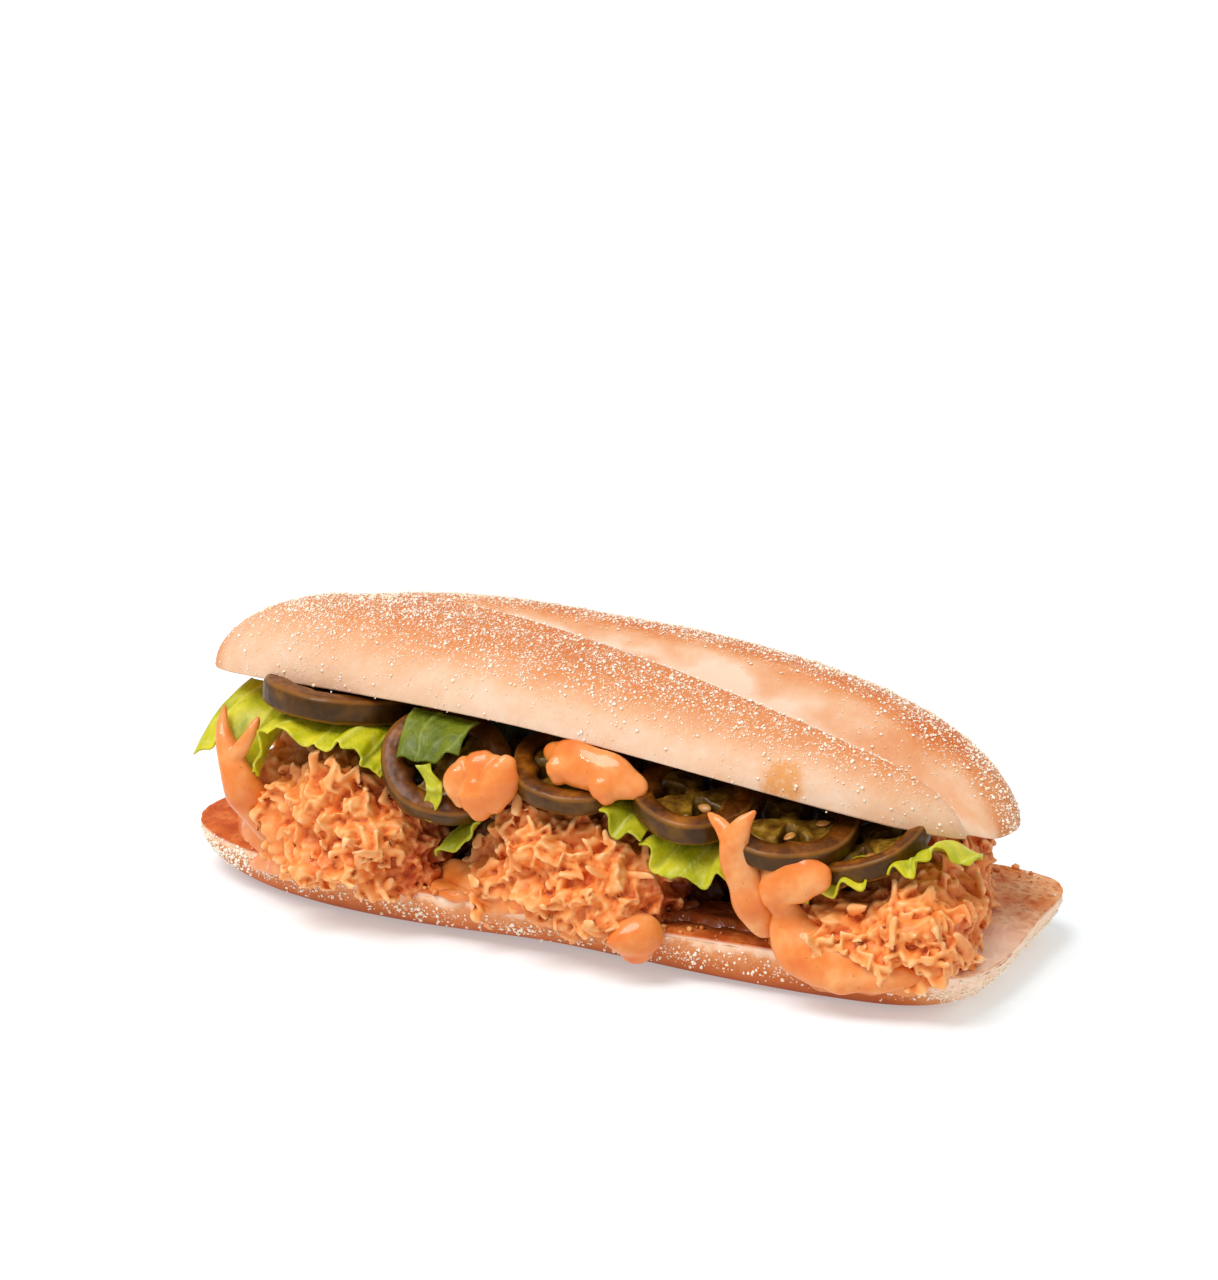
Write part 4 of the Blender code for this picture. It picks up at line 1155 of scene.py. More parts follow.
class BunSide(Enum):
    """Which half of the roll a crust finish is for."""

    TOP = "top"
    BOTTOM = "bottom"


@dataclass(frozen=True)
class CrustFinish:
    """Baked crust: cream to golden brown by the bake number, with fine flour, pores and faint blisters, and
    painted shade deep inside the roll.
    """

    name: str
    side: BunSide

    def material(self) -> bpy.types.Material:
        """Build the crust's material."""
        nodes = Nodes(self.name)
        bake = nodes.attribute("bake")
        mottled = bake + (nodes.noise(7.0, 4.0) - 0.5) * 0.34 + (nodes.noise(1.6, 3.0) - 0.5) * 0.16
        if self.side is BunSide.TOP:
            colour = nodes.ramp(mottled, (
                (0.0, srgb(232, 202, 176)), (0.28, srgb(224, 172, 132)), (0.6, srgb(216, 142, 90)),
                (0.95, srgb(202, 110, 54))))
            stain = nodes.attribute("stain") * (nodes.noise(1.6, 3.0).between(0.3, 0.5) * 0.5 + 0.5)
            colour = nodes.mix(stain * 0.85, colour, srgb(216, 142, 68))
        else:
            crust = nodes.ramp(mottled, (
                (0.0, srgb(250, 218, 192)), (0.10, srgb(244, 198, 162)), (0.17, srgb(222, 146, 92)),
                (0.38, srgb(202, 108, 48)), (0.75, srgb(174, 76, 26))))
            face = nodes.ramp(nodes.noise(6.0, 5.0) - nodes.attribute("end") * 0.28, (
                (0.12, srgb(240, 184, 132)), (0.34, srgb(220, 126, 60)), (0.52, srgb(200, 92, 28)),
                (0.72, srgb(168, 66, 14))))
            char = nodes.noise(1.5, 4.0).between(0.5, 0.66)
            face = nodes.mix(char * 0.55, face, srgb(176, 80, 34))
            colour = nodes.mix(nodes.attribute("toast"), crust, face)
        # painted shade deep inside the roll
        colour = nodes.shaded(colour, 0.85)
        flour = nodes.attribute("dust") * (1.0 - nodes.cells(0.85).between(0.16, 0.42))
        flour = flour * nodes.noise(4.0, 2.0).between(0.3, 0.6)
        colour = nodes.mix(flour * 0.85, colour, srgb(252, 240, 224))
        pores = nodes.relief(nodes.noise(0.55, 3.0), 0.12, 0.5)
        blisters = nodes.relief(nodes.noise(2.4, 4.0), 0.3, 0.5, under=pores)
        return nodes.finish(Base_Color=colour, Roughness=0.62, Normal=blisters, Specular_IOR_Level=0.2,
                            Subsurface_Weight=0.08, Subsurface_Radius=(0.004, 0.002, 0.001))


# Fillings

@dataclass(frozen=True)
class ChickenForm:
    """One crispy piece laid across the roll: its box, and how it slopes, leans and widens to the back."""

    name: str
    middle_x: float
    half_length: float
    near_y: float
    far_y: float
    bottom: float
    top_left: float
    top_right: float
    skew: float
    widen: float
    recede: float
    browning: float
    seed: int


CHICKENS = (
    ChickenForm("chicken_left", -43.5, 22.5, -42.5, 38.0, 7.5, 49.5, 31.0, -0.20, 0.30, 6.0, 1.0, 3),
    ChickenForm("chicken_middle", 11.5, 25.5, -43.0, 38.0, 8.0, 42.0, 29.0, -0.12, 0.42, 6.0, 0.9, 5),
    ChickenForm("chicken_right", 84.5, 22.5, -41.5, 33.0, 8.0, 26.0, 30.0, -0.40, 0.02, 8.0, 0.2, 8),
)


@dataclass
class Chicken:
    """A fried piece: a squarish lump under folded batter, with curled ribbons and flakes of batter on it."""

    place: Place
    crown: CrownForm
    form: ChickenForm
    rows: int = 300
    columns: int = 312
    salad_room: float = 6.0
    inner_room: float = 1.0
    inner_swell: float = 5.0
    inner_half_depth: float = 13.0
    squareness: float = 3.2
    crowding: float = 1.2
    cell: float = 0.61
    blunting: int = 1
    cavity_rounds: int = 16
    curl: tuple = (0.5, 2.1)
    lean: tuple = (-0.3, 0.8)
    beats: tuple = (0.6, 1.6)

    def build(self) -> list[bpy.types.Object]:
        """Make the lump, melt its ribbons and flakes into it, and tell how far each point stands out, a
        number that the finish turns into painted shade and highlight.
        """
        right, up, back = ball_grid(self.rows, self.columns, self.crowding)
        directions = np.stack([right, -back, up], axis=-1)
        points, crest, brown = self.surface(directions)
        # the inside number carries painted shade deep in the roll
        lump = grid_piece(
            f"{self.form.name}_batter", self.place.metres(points), self.rows, self.columns, Wrap.BALL,
            BatterFinish(self.form.name).material(), inside=inside(points, 22.0, 36.0), brown=brown)
        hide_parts(self.form.name)
        melt(lump, [self.curled(kind, lump, crest, brown) for kind in (RIBBONS, FLAKES)], self.cell * MM)
        move_points(lump, smoothed_points(lump, self.blunting))
        # painted shade and highlight: how far each point stands out from a smoothed copy darkens the hollows
        # and lightens the crests
        stand = ((points_of(lump) - smoothed_points(lump, self.cavity_rounds)) * normals_of(lump)).sum(axis=1)
        add_attribute(lump, "stand", np.clip(0.5 + 0.9 * stand / MM, 0.0, 1.0))
        return [lump]

    def lump_surface(self, directions: Rows) -> tuple[Rows, Rows]:
        """The lump without its fine batter, as the solid has it.

        Formula: a superellipsoid of the piece's box, leaning and widening to the back, swollen to meet the
        crown inside the roll, with waves and crags raised along the ball's directions.

        Args:
            directions: rows of length 1.

        Returns:
            Rows in millimetres of the drawing, and how far inside the roll each is, from 0 to 1.
        """
        form = self.form
        power = self.squareness
        box = directions * ((np.abs(directions) ** power).sum(axis=1) ** (-1.0 / power))[:, None]
        middle_y = 0.5 * (form.near_y + form.far_y)
        y = middle_y + 0.5 * (form.far_y - form.near_y) * box[:, 1]
        back = (y - form.near_y) / (form.far_y - form.near_y)
        half = form.half_length * (1.0 + form.widen * smooth_step(back, 0.1, 0.5))
        x = form.middle_x + form.skew * (y - form.near_y) + half * box[:, 0]
        top = form.top_left + (form.top_right - form.top_left) * (0.5 + 0.5 * box[:, 0])
        roof, reach = self.crown.underside(x, y)
        inner = 1.0 - smooth_step(np.abs(y), self.inner_half_depth - 8.0, self.inner_half_depth + 2.0)
        inner = inner * (1.0 - smooth_step(reach, 0.75, 0.92))
        top = top + (roof + self.inner_swell - top) * inner
        level = 0.5 * (form.bottom + min(form.top_left, form.top_right))
        z = level + np.where(box[:, 2] > 0.0, top - level, level - form.bottom) * box[:, 2]
        lift = np.clip((z - form.bottom - 8.0) / 28.0, 0.0, 1.0)
        y = y + form.recede * np.clip(-box[:, 1], 0.0, 1.0) * lift
        place = np.stack([x, y, z], axis=-1)
        relief = 2.0 * waves(place, 26.0, form.seed) + 2.6 * (crags(place, 17.0, form.seed + 1) - 0.45)
        relief = relief + 1.5 * (crags(place, 8.5, form.seed + 2) - 0.45)
        return place + directions * relief[:, None], inner

    def surface(self, directions: Rows) -> tuple[Rows, Rows, Rows]:
        """Fold batter over the lump.

        Formula: the surface is moved sideways by noise, and out along each direction by rounded folds of
        two sizes; where it is browned, fine crumbs take the folds' place. It stays under the crown.

        Args:
            directions: rows of length 1.

        Returns:
            Rows in millimetres of the drawing, the height of the folds and how browned each point is.
        """
        seed = 100 + 20 * self.form.seed
        place, inner = self.lump_surface(directions)
        side = directions[:, 0] + 0.35 * cloudy(place, 12.0, seed, 2)
        brown = smooth_step(side, 0.35, 0.75) * self.form.browning
        sway = np.stack([cloudy(place, 9.0, seed + 1 + axis, 2) for axis in range(3)], axis=-1)
        crumple = np.stack([cloudy(place, 3.4, seed + 5 + axis, 2) for axis in range(3)], axis=-1)
        large = folds(place + 2.6 * sway, 6.2, seed + 9)
        small = folds(place + 1.4 * sway + 0.6 * crumple, 2.6, seed + 13)
        crumbs = folds(place + 0.5 * crumple, 1.5, seed + 17)
        height = 2.3 * (large - 0.55) + 0.9 * (small - 0.5)
        height = height + brown * (0.7 * (crumbs - 0.5) - 0.5 * height)
        place = place + 1.4 * sway + 0.7 * crumple + directions * height[:, None]
        room = self.salad_room + (self.inner_room - self.salad_room) * inner
        place[:, 2] = np.minimum(place[:, 2], self.crown.ceiling(place[:, 0], place[:, 1], room))
        crest = 0.55 * large + 0.45 * small
        return place, np.clip(crest + brown * (crumbs - crest) * 0.6, 0.0, 1.0), brown

    def curled(self, kind: "CurlKind", lump: bpy.types.Object, crest: Rows, brown: Rows) -> bpy.types.Object:
        """Strips of batter that stand off the lump, ruffle and curl over.

        Formula: a strip's root wanders by a sine, its flat section rises along an arc that leans over
        further towards the rippled top, and its height falls off with the fourth power of the way from
        its middle.

        Args:
            kind: how many, how large and how finely made they are.
            lump: the surface that they stand on.
            crest: the height of its folds; high ones carry more strips.
            brown: how browned its points are.

        Returns:
            The piece, without its material.
        """
        rng = np.random.default_rng(kind.seed + self.form.seed)
        points, normals = points_of(lump) / MM, normals_of(lump)
        weights = area_round(lump) * (0.3 + crest) * (1.0 - 0.6 * smooth_step(normals[:, 2], 0.5, 0.9))
        count = kind.count
        chosen = rng.choice(len(points), size=count, p=weights / weights.sum())
        root, up = points[chosen][:, None, :], normals[chosen][:, None, :]
        ahead = unit(np.cross(up, rng.normal(size=(count, 1, 3))))
        side = np.cross(up, ahead)
        length, height, wall, curl, lean, beats, phase = (
            rng.uniform(low, high, (count, 1, 1)) for low, high in (
                kind.length, kind.height, kind.wall, self.curl, self.lean, self.beats, (0.0, 6.28)))
        u, v = pairs((np.arange(kind.rows) + 0.5) / kind.rows, turns(kind.columns), (0.0, 0.0), (1.0, 0.0))
        size, u, v = len(u), u[None, :, None], v[None, :, None]
        rise = 0.5 * (1.0 - np.sign(np.cos(v)) * np.abs(np.cos(v)) ** 0.75)
        blunt = (1.0 - (2.0 * u - 1.0) ** 4) ** 0.6
        tall = height * blunt * (1.0 + 0.15 * np.sin(9.0 * u + phase))
        bend = lean + curl * rise
        lift = tall * (np.sin(bend) - np.sin(lean)) / curl
        out = tall * (np.cos(lean) - np.cos(bend)) / curl
        thick = wall * np.sign(np.sin(v)) * np.abs(np.sin(v)) ** 0.6 * blunt
        sway = length * 0.14 * np.sin(2.0 * math.pi * beats * u + phase)
        ripple = 0.3 * tall * rise * np.sin(4.0 * math.pi * beats * u + 2.0 * phase)
        places = root + ahead * length * (u - 0.5) + up * (lift - kind.sunk - thick * np.sin(bend))
        places = places + side * (out + sway + ripple + thick * np.cos(bend))
        ceiling = self.crown.ceiling(places[..., 0] - self.place.shift_x, places[..., 1] - self.place.shift_y,
                                     kind.room)
        places[..., 2] = np.minimum(places[..., 2], ceiling)
        quads, fans = grid_faces(kind.rows, kind.columns, Wrap.BALL)
        piece = make_mesh(f"{self.form.name}_{kind.name}", places.reshape(-1, 3) * MM,
                          copies(quads, size, count), copies(fans, size, count))
        add_attribute(piece, "brown", np.repeat(brown[chosen], size))
        # painted shade deep in the roll
        add_attribute(piece, "inside", inside(self.place.drawing(points_of(piece)), 22.0, 36.0))
        return piece


@dataclass(frozen=True)
class CurlKind:
    """One size of curled batter, in millimetres: ranges for its strips, their count and their mesh."""

    name: str
    count: int
    length: tuple
    height: tuple
    wall: tuple
    sunk: float
    rows: int
    columns: int
    seed: int
    room: float = 0.6


RIBBONS = CurlKind("ribbons", 460, (4.5, 10.0), (1.3, 2.7), (0.6, 1.15), 0.8, 14, 12, 500)
FLAKES = CurlKind("flakes", 520, (1.8, 4.2), (0.7, 1.5), (0.45, 0.8), 0.5, 8, 8, 600)


@dataclass(frozen=True)
class BatterFinish:
    """Fried batter: painted shade makes its hollows deep orange and painted highlight makes what stands out
    pale gold; browned in patches, oily, and with painted shade deep in the roll.
    """

    name: str

    def material(self) -> bpy.types.Material:
        """Build the batter's material."""
        nodes = Nodes(self.name)
        # painted shade and highlight: deep orange in the hollows, pale gold on what stands out
        level = nodes.attribute("stand") + (nodes.noise(2.4, 3.0) - 0.5) * 0.25
        level = level + (nodes.noise(9.0, 2.0) - 0.5) * 0.3
        colour = nodes.ramp(level, (
            (0.05, srgb(198, 88, 28)), (0.26, srgb(228, 122, 50)), (0.48, srgb(240, 148, 74)),
            (0.70, srgb(246, 174, 106)), (0.92, srgb(252, 204, 148))))
        brown = nodes.attribute("brown") * nodes.noise(3.0, 3.0).between(0.3, 0.55)
        colour = nodes.mix(brown, colour, srgb(206, 124, 58), "MULTIPLY")
        red = nodes.noise(13.0, 2.0, warp=0.5).between(0.6, 0.72)
        # painted shade deep in the roll
        colour = nodes.shaded(nodes.mix(red * 0.35, colour, srgb(218, 98, 46)), 0.9)
        grain = nodes.relief(nodes.noise(0.8, 3.0), 0.16, 0.6)
        rough = nodes.noise(2.2, 2.0).between(0.3, 0.7) * 0.2 + 0.36
        return nodes.finish(Base_Color=colour, Roughness=rough, Normal=grain, Specular_IOR_Level=0.3,
                            Subsurface_Weight=0.08, Subsurface_Radius=(0.003, 0.0012, 0.0005))


@dataclass(frozen=True)
class RingForm:
    """A slice of pickled green pepper: centre, radii, thickness and the direction that its face looks in."""

    name: str
    centre: tuple
    radius: float
    hole: float
    thickness: float
    facing: tuple
    seed: int


# The number of a ring also seeds its ribs and wrinkles.
RINGS = tuple(RingForm(f"pepper_ring_{number}", *row, number) for number, row in enumerate((
    ((-52.5, -21.0, 49.2), 17.2, 10.2, 6.2, (0.08, 0.08, 1.0)),
    ((-20.8, -32.0, 40.3), 14.3, 8.7, 5.8, (0.30, -0.62, 0.72)),
    ((8.6, -28.5, 42.2), 14.0, 9.2, 4.8, (0.10, -0.33, 0.94)),
    ((36.8, -29.0, 39.6), 13.4, 8.7, 5.6, (0.14, -0.28, 0.95)),
    ((58.4, -28.5, 36.8), 15.2, 9.6, 4.8, (0.12, -0.26, 0.96)),
    ((75.0, -25.5, 33.2), 12.6, 8.4, 4.8, (-0.24, -0.24, 0.94)),
    ((-8.0, 25.0, 41.0), 14.0, 9.0, 5.0, (-0.10, 0.22, 0.97)),
    ((48.0, 24.0, 36.5), 13.5, 8.8, 5.0, (-0.06, 0.20, 0.97)),
), start=1))


@dataclass
class PepperRing:
    """A pepper slice: glossy dark skin outside, paler cut faces, and soft ribs on the inner wall."""

    place: Place
    form: RingForm
    around: int = 200
    section: int = 44
    ribs: int = 3
    core_rows: int = 26
    core_sunk: float = 1.2
    core_wall: float = 0.8
    core_overlap: float = 0.8
    chamber_depth: float = 5.0

    def build(self) -> list[bpy.types.Object]:
        """Make the slice and the soft core that is left in it."""
        angle, side = pairs(turns(self.around), turns(self.section))
        points, skin, rim = self.surface(angle, side)
        # painted shade: the inner wall, which faces the hole, darkens like the flesh deep inside the roll
        inner_wall = 1.0 - smooth_step(np.cos(side), -0.9, -0.4)
        ring = grid_piece(
            f"{self.form.name}_flesh", self.place.metres(points), self.around, self.section, Wrap.RING,
            PepperFinish(self.form.name).material(), skin=skin, rim=rim,
            inside=np.maximum(inside(points), inner_wall))
        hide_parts(self.form.name)
        return [ring, self.core()]

    def axes(self) -> tuple[Rows, Rows, Rows]:
        """Directions of length 1: the way that the slice faces, and two across it."""
        facing = unit(np.array(self.form.facing))
        right = unit(np.cross((0.0, 1.0, 0.0), facing))
        return facing, right, np.cross(facing, right)

    def core(self) -> bpy.types.Object:
        """Make the membranes between the seed chambers.

        Formula: a thin disc a little below the slice's face, in polar rows over the top and back below. Its
        height sinks by up to five millimetres in the chambers, where a sine of three turns is large between
        the middle and the wall, and noise wrinkles it.

        Returns:
            The piece.
        """
        ring = self.form
        half, around = self.core_rows // 2, self.around // 2
        share = (np.arange(half) + 0.5) / half
        reach, angle = pairs(np.concatenate([share, share[::-1]]), turns(around), (0.0, 0.0), (0.0, 0.0))
        below = np.append(np.repeat(np.arange(2 * half) >= half, around).astype(float), (0.0, 1.0))
        facing, right, up = self.axes()
        flat = np.cos(angle)[:, None] * right + np.sin(angle)[:, None] * up
        points = np.array(ring.centre) + flat * (reach * (ring.hole + self.core_overlap))[:, None]
        lobes = np.sin(self.ribs * angle + ring.seed) + 0.5 * cloudy(points, 5.0, 90 + ring.seed, 1)
        chamber = smooth_step(lobes, 0.1, 0.6) * smooth_step(reach, 0.18, 0.4)
        chamber = chamber * (1.0 - smooth_step(reach, 0.82, 0.95))
        wrinkle = 0.8 * cloudy(points, 3.5, 94 + ring.seed)
        height = 0.5 * ring.thickness - self.core_sunk - self.chamber_depth * chamber + wrinkle
        height = height - 1.2 * reach * (1.0 - reach) - self.core_wall * below
        points += facing * height[:, None]
        # painted shade: the sunk chambers and the parts deep in the roll are darkened
        core = grid_piece(
            f"{ring.name}_core", self.place.metres(points), 2 * half, around, Wrap.BALL,
            CoreFinish(f"{ring.name} core").material(), inside=np.maximum(0.8 * chamber, inside(points)))
        return core

    def surface(self, angle: Rows, side: Rows) -> tuple[Rows, Rows, Rows]:
        """Carry a squarish section round an uneven circle.

        Formula: the section is a superellipse; its inner wall swells into a few ribs, its skin side bulges,
        and noise wrinkles it. The circle's radius wobbles by two sines of the angle.

        Args:
            angle: angle round the slice.
            side: angle round the section, 0 at the skin.

        Returns:
            Rows in millimetres of the drawing, and nearness to the skin and to its edge, from 0 to 1.
        """
        ring = self.form
        wall = 0.5 * (ring.radius - ring.hole)
        wobble = 1.0 + 0.035 * np.sin(2.0 * angle + ring.seed) + 0.02 * np.sin(5.0 * angle + 2.0 * ring.seed)
        cos, sin = np.cos(side), np.sin(side)
        push = (np.abs(cos) ** 4 + np.abs(sin) ** 4) ** -0.25
        inward = smooth_step(-cos, 0.2, 0.9)
        rib = np.clip(np.sin(self.ribs * angle + ring.seed), 0.0, 1.0) ** 6
        reach = (ring.hole + wall) * wobble + wall * cos * push - 1.3 * rib * inward
        rise = 0.5 * ring.thickness * sin * push * (1.0 - 0.16 * inward)
        facing, right, up = self.axes()
        flat = np.cos(angle)[:, None] * right + np.sin(angle)[:, None] * up
        points = np.array(ring.centre) + flat * reach[:, None] + facing * rise[:, None]
        wrinkle = 0.22 * cloudy(points, 5.0, 60 + ring.seed) + 0.08 * cloudy(points, 1.4, 61 + ring.seed, 2)
        points += unit(flat * cos[:, None] + facing * sin[:, None]) * wrinkle[:, None]
        edge = smooth_step(cos * push, 0.62, 0.9) * smooth_step(np.abs(sin) * push, 0.62, 0.9)
        return points, smooth_step(cos * push, 0.7, 0.98), edge


@dataclass(frozen=True)
class PepperFinish:
    """Pickled pepper: dark olive skin, brownish flesh with a paler rim along the skin that is partly a
    painted highlight, wet all over, with painted shade on the inner wall and deep in the roll.
    """

    name: str

    def material(self) -> bpy.types.Material:
        """Build the pepper's material."""
        nodes = Nodes(self.name)
        blotch = nodes.noise(6.0, 3.0)
        skin = nodes.ramp(blotch, ((0.3, srgb(54, 30, 2)), (0.55, srgb(84, 50, 4)), (0.75, srgb(114, 74, 8))))
        flesh = nodes.ramp(blotch + (nodes.noise(1.3, 3.0) - 0.5) * 0.3, (
            (0.3, srgb(60, 27, 2)), (0.55, srgb(108, 56, 6)), (0.8, srgb(164, 98, 20))))
        colour = nodes.mix(nodes.attribute("skin"), flesh, skin)
        # paler rim where the skin meets the cut faces: partly the flesh's own colour, partly a painted
        # highlight on the edge
        colour = nodes.mix(nodes.attribute("rim") * 0.6, colour, srgb(172, 112, 40))
        # painted shade on the inner wall and deep in the roll
        colour = nodes.shaded(colour, 0.6)
        wet = nodes.relief(nodes.noise(2.6, 3.0), 0.2, 0.3)
        return nodes.finish(Base_Color=colour, Roughness=0.36, Normal=wet, Specular_IOR_Level=0.2,
                            Coat_Weight=0.08, Coat_Roughness=0.08,
                            Subsurface_Weight=0.12, Subsurface_Radius=(0.003, 0.002, 0.0006))


@dataclass(frozen=True)
class CoreFinish:
    """Soft pepper core: wet olive brown, with painted shade in its chambers and deep in the roll, which
    leaves its crests paler.
    """

    name: str

    def material(self) -> bpy.types.Material:
        """Build the core's material."""
        nodes = Nodes(self.name)
        colour = nodes.ramp(nodes.noise(2.6, 3.0), (
            (0.3, srgb(74, 44, 8)), (0.5, srgb(118, 82, 18)), (0.7, srgb(164, 124, 40))))
        # painted shade in the chambers and deep in the roll
        colour = nodes.shaded(colour, 0.9)
        wet = nodes.relief(nodes.noise(1.6, 3.0), 0.25, 0.5)
        return nodes.finish(Base_Color=colour, Roughness=0.28, Normal=wet, Specular_IOR_Level=0.4,
                            Subsurface_Weight=0.1, Subsurface_Radius=(0.003, 0.002, 0.0006))


@dataclass
class Seeds:
    """Flat pepper seeds that lie on the cores."""

    place: Place
    rows: int = 8
    columns: int = 12
    size: tuple = (1.35, 1.05, 0.4)
    spots: tuple = ((65.4, -28.0, 37.6), (60.5, -33.5, 35.8), (41.0, -33.0, 39.0), (12.0, -32.5, 41.6),
                    (77.0, -30.0, 32.6), (-45.0, -27.0, 50.2), (-10.0, 29.0, 41.5), (50.0, 28.0, 37.0))

    def build(self) -> list[bpy.types.Object]:
        """Make the seeds as one piece: flat, pointed balls, each turned its own way."""
        rng = np.random.default_rng(71)
        count = len(self.spots)
        ball = np.stack(ball_grid(self.rows, self.columns), axis=-1)
        ball[:, 0] *= 1.0 + 0.35 * np.clip(ball[:, 0], 0.0, 1.0) ** 3
        up = unit(rng.normal(0.0, 0.25, (count, 3)) + (0.0, -0.5, 1.0))
        side = unit(np.cross(up, rng.normal(size=(count, 3))))
        turned = np.stack([np.cross(side, up), side, up], axis=1)
        places = np.array(self.spots)[:, None, :] + np.einsum("vk,skj->svj", ball * self.size, turned)
        quads, fans = grid_faces(self.rows, self.columns, Wrap.BALL)
        piece = make_mesh("pepper_seeds", self.place.metres(places.reshape(-1, 3)),
                          copies(quads, len(ball), count), copies(fans, len(ball), count))
        piece.data.materials.append(SEED_COAT.material())
        return [piece]


@dataclass(frozen=True)
class LeafForm:
    """A torn leaf between the edge that is tucked in and the wavy edge that shows.

    bow is how far it bulges and frill how far its edge waves, in millimetres; waves is how many there are,
    and shade how yellow the green is, from 0, dark, to 1. A low shade is also painted shade, on leaves that
    lie in shadow under the crown and behind the rings.
    """

    name: str
    tucked: tuple
    edge: tuple
    bow: float
    frill: float
    waves: float
    shade: float


LEAVES = tuple(LeafForm(f"lettuce_{number}", *row) for number, row in enumerate((
    (((-79.0, -16.0, 48.5), (-64.0, -14.0, 46.5), (-48.0, -15.0, 45.0), (-36.0, -17.0, 44.0)),
     ((-87.0, -29.0, 32.5), (-75.0, -31.0, 37.5), (-68.5, -33.0, 31.0), (-64.5, -37.0, 43.0),
      (-50.0, -40.0, 43.5), (-40.0, -40.0, 43.0), (-33.5, -38.5, 37.5)),
     2.0, 1.0, 4.0, 0.95),
    # lettuce_2: its low shade is painted shade, as it lies in shadow under the crown
    (((-30.0, -29.0, 51.0), (-22.0, -29.0, 50.5), (-14.0, -29.0, 49.5)),
     ((-29.0, -39.0, 42.5), (-22.0, -40.0, 43.0), (-14.0, -39.0, 45.0)),
     1.6, 0.7, 1.5, 0.15),
    (((-23.0, -41.5, 42.5), (-20.0, -42.5, 38.0), (-22.5, -42.5, 31.0)),
     ((-20.0, -41.5, 43.0), (-16.5, -42.0, 38.0), (-19.5, -42.0, 30.0)),
     0.5, 0.4, 1.0, 0.8),
    (((-16.0, -30.0, 27.5), (-11.0, -30.0, 29.5), (-7.0, -30.0, 32.5)),
     ((-20.5, -38.0, 21.0), (-14.0, -39.0, 25.0), (-8.5, -39.5, 30.5)),
     1.0, 0.8, 1.5, 0.55),
    (((21.0, -26.0, 38.5), (26.0, -26.0, 37.5), (31.0, -26.0, 36.0)),
     ((19.5, -40.0, 37.5), (24.0, -41.0, 33.5), (29.5, -40.5, 33.0)),
     1.2, 0.9, 1.5, 0.65),
    (((30.0, -24.0, 32.0), (40.0, -23.0, 31.0), (50.0, -24.0, 30.0)),
     ((29.0, -40.0, 31.5), (34.0, -40.5, 26.0), (42.0, -40.5, 25.0), (49.5, -40.0, 26.5)),
     3.0, 1.3, 2.5, 0.85),
    (((62.0, -22.0, 29.0), (70.0, -21.0, 29.5), (78.0, -22.0, 29.5)),
     ((61.5, -38.0, 23.5), (70.0, -39.0, 26.5), (79.0, -38.0, 29.5)),
     2.8, 0.9, 3.0, 0.85),
    (((84.0, -17.0, 32.0), (90.0, -16.0, 31.0), (96.0, -15.0, 30.0)),
     ((83.0, -35.5, 31.0), (89.0, -36.0, 33.5), (93.0, -34.5, 38.0), (98.0, -29.0, 33.0)),
     2.0, 0.8, 3.0, 1.0),
    (((-78.0, 12.0, 47.0), (-38.0, 12.0, 44.5), (2.0, 12.0, 41.5), (40.0, 12.0, 38.0)),
     ((-84.0, 30.0, 36.0), (-66.0, 38.0, 40.0), (-50.0, 40.0, 37.0), (-34.0, 39.5, 40.0),
      (-16.0, 39.5, 34.5), (2.0, 39.0, 37.5), (18.0, 40.0, 32.5), (30.0, 39.5, 35.0),
      (42.0, 37.0, 30.0)),
     2.4, 1.5, 7.0, 0.7),
    # lettuce_10: its low shade is painted shade, as it stands in shadow behind the second pepper ring
    (((-42.0, -9.0, 50.0), (-26.0, -9.0, 49.5), (-8.0, -10.0, 47.5)),
     ((-42.0, -15.0, 15.0), (-27.0, -20.0, 15.0), (-8.0, -15.0, 14.5)),
     1.0, 1.5, 3.0, 0.2),
), start=1))


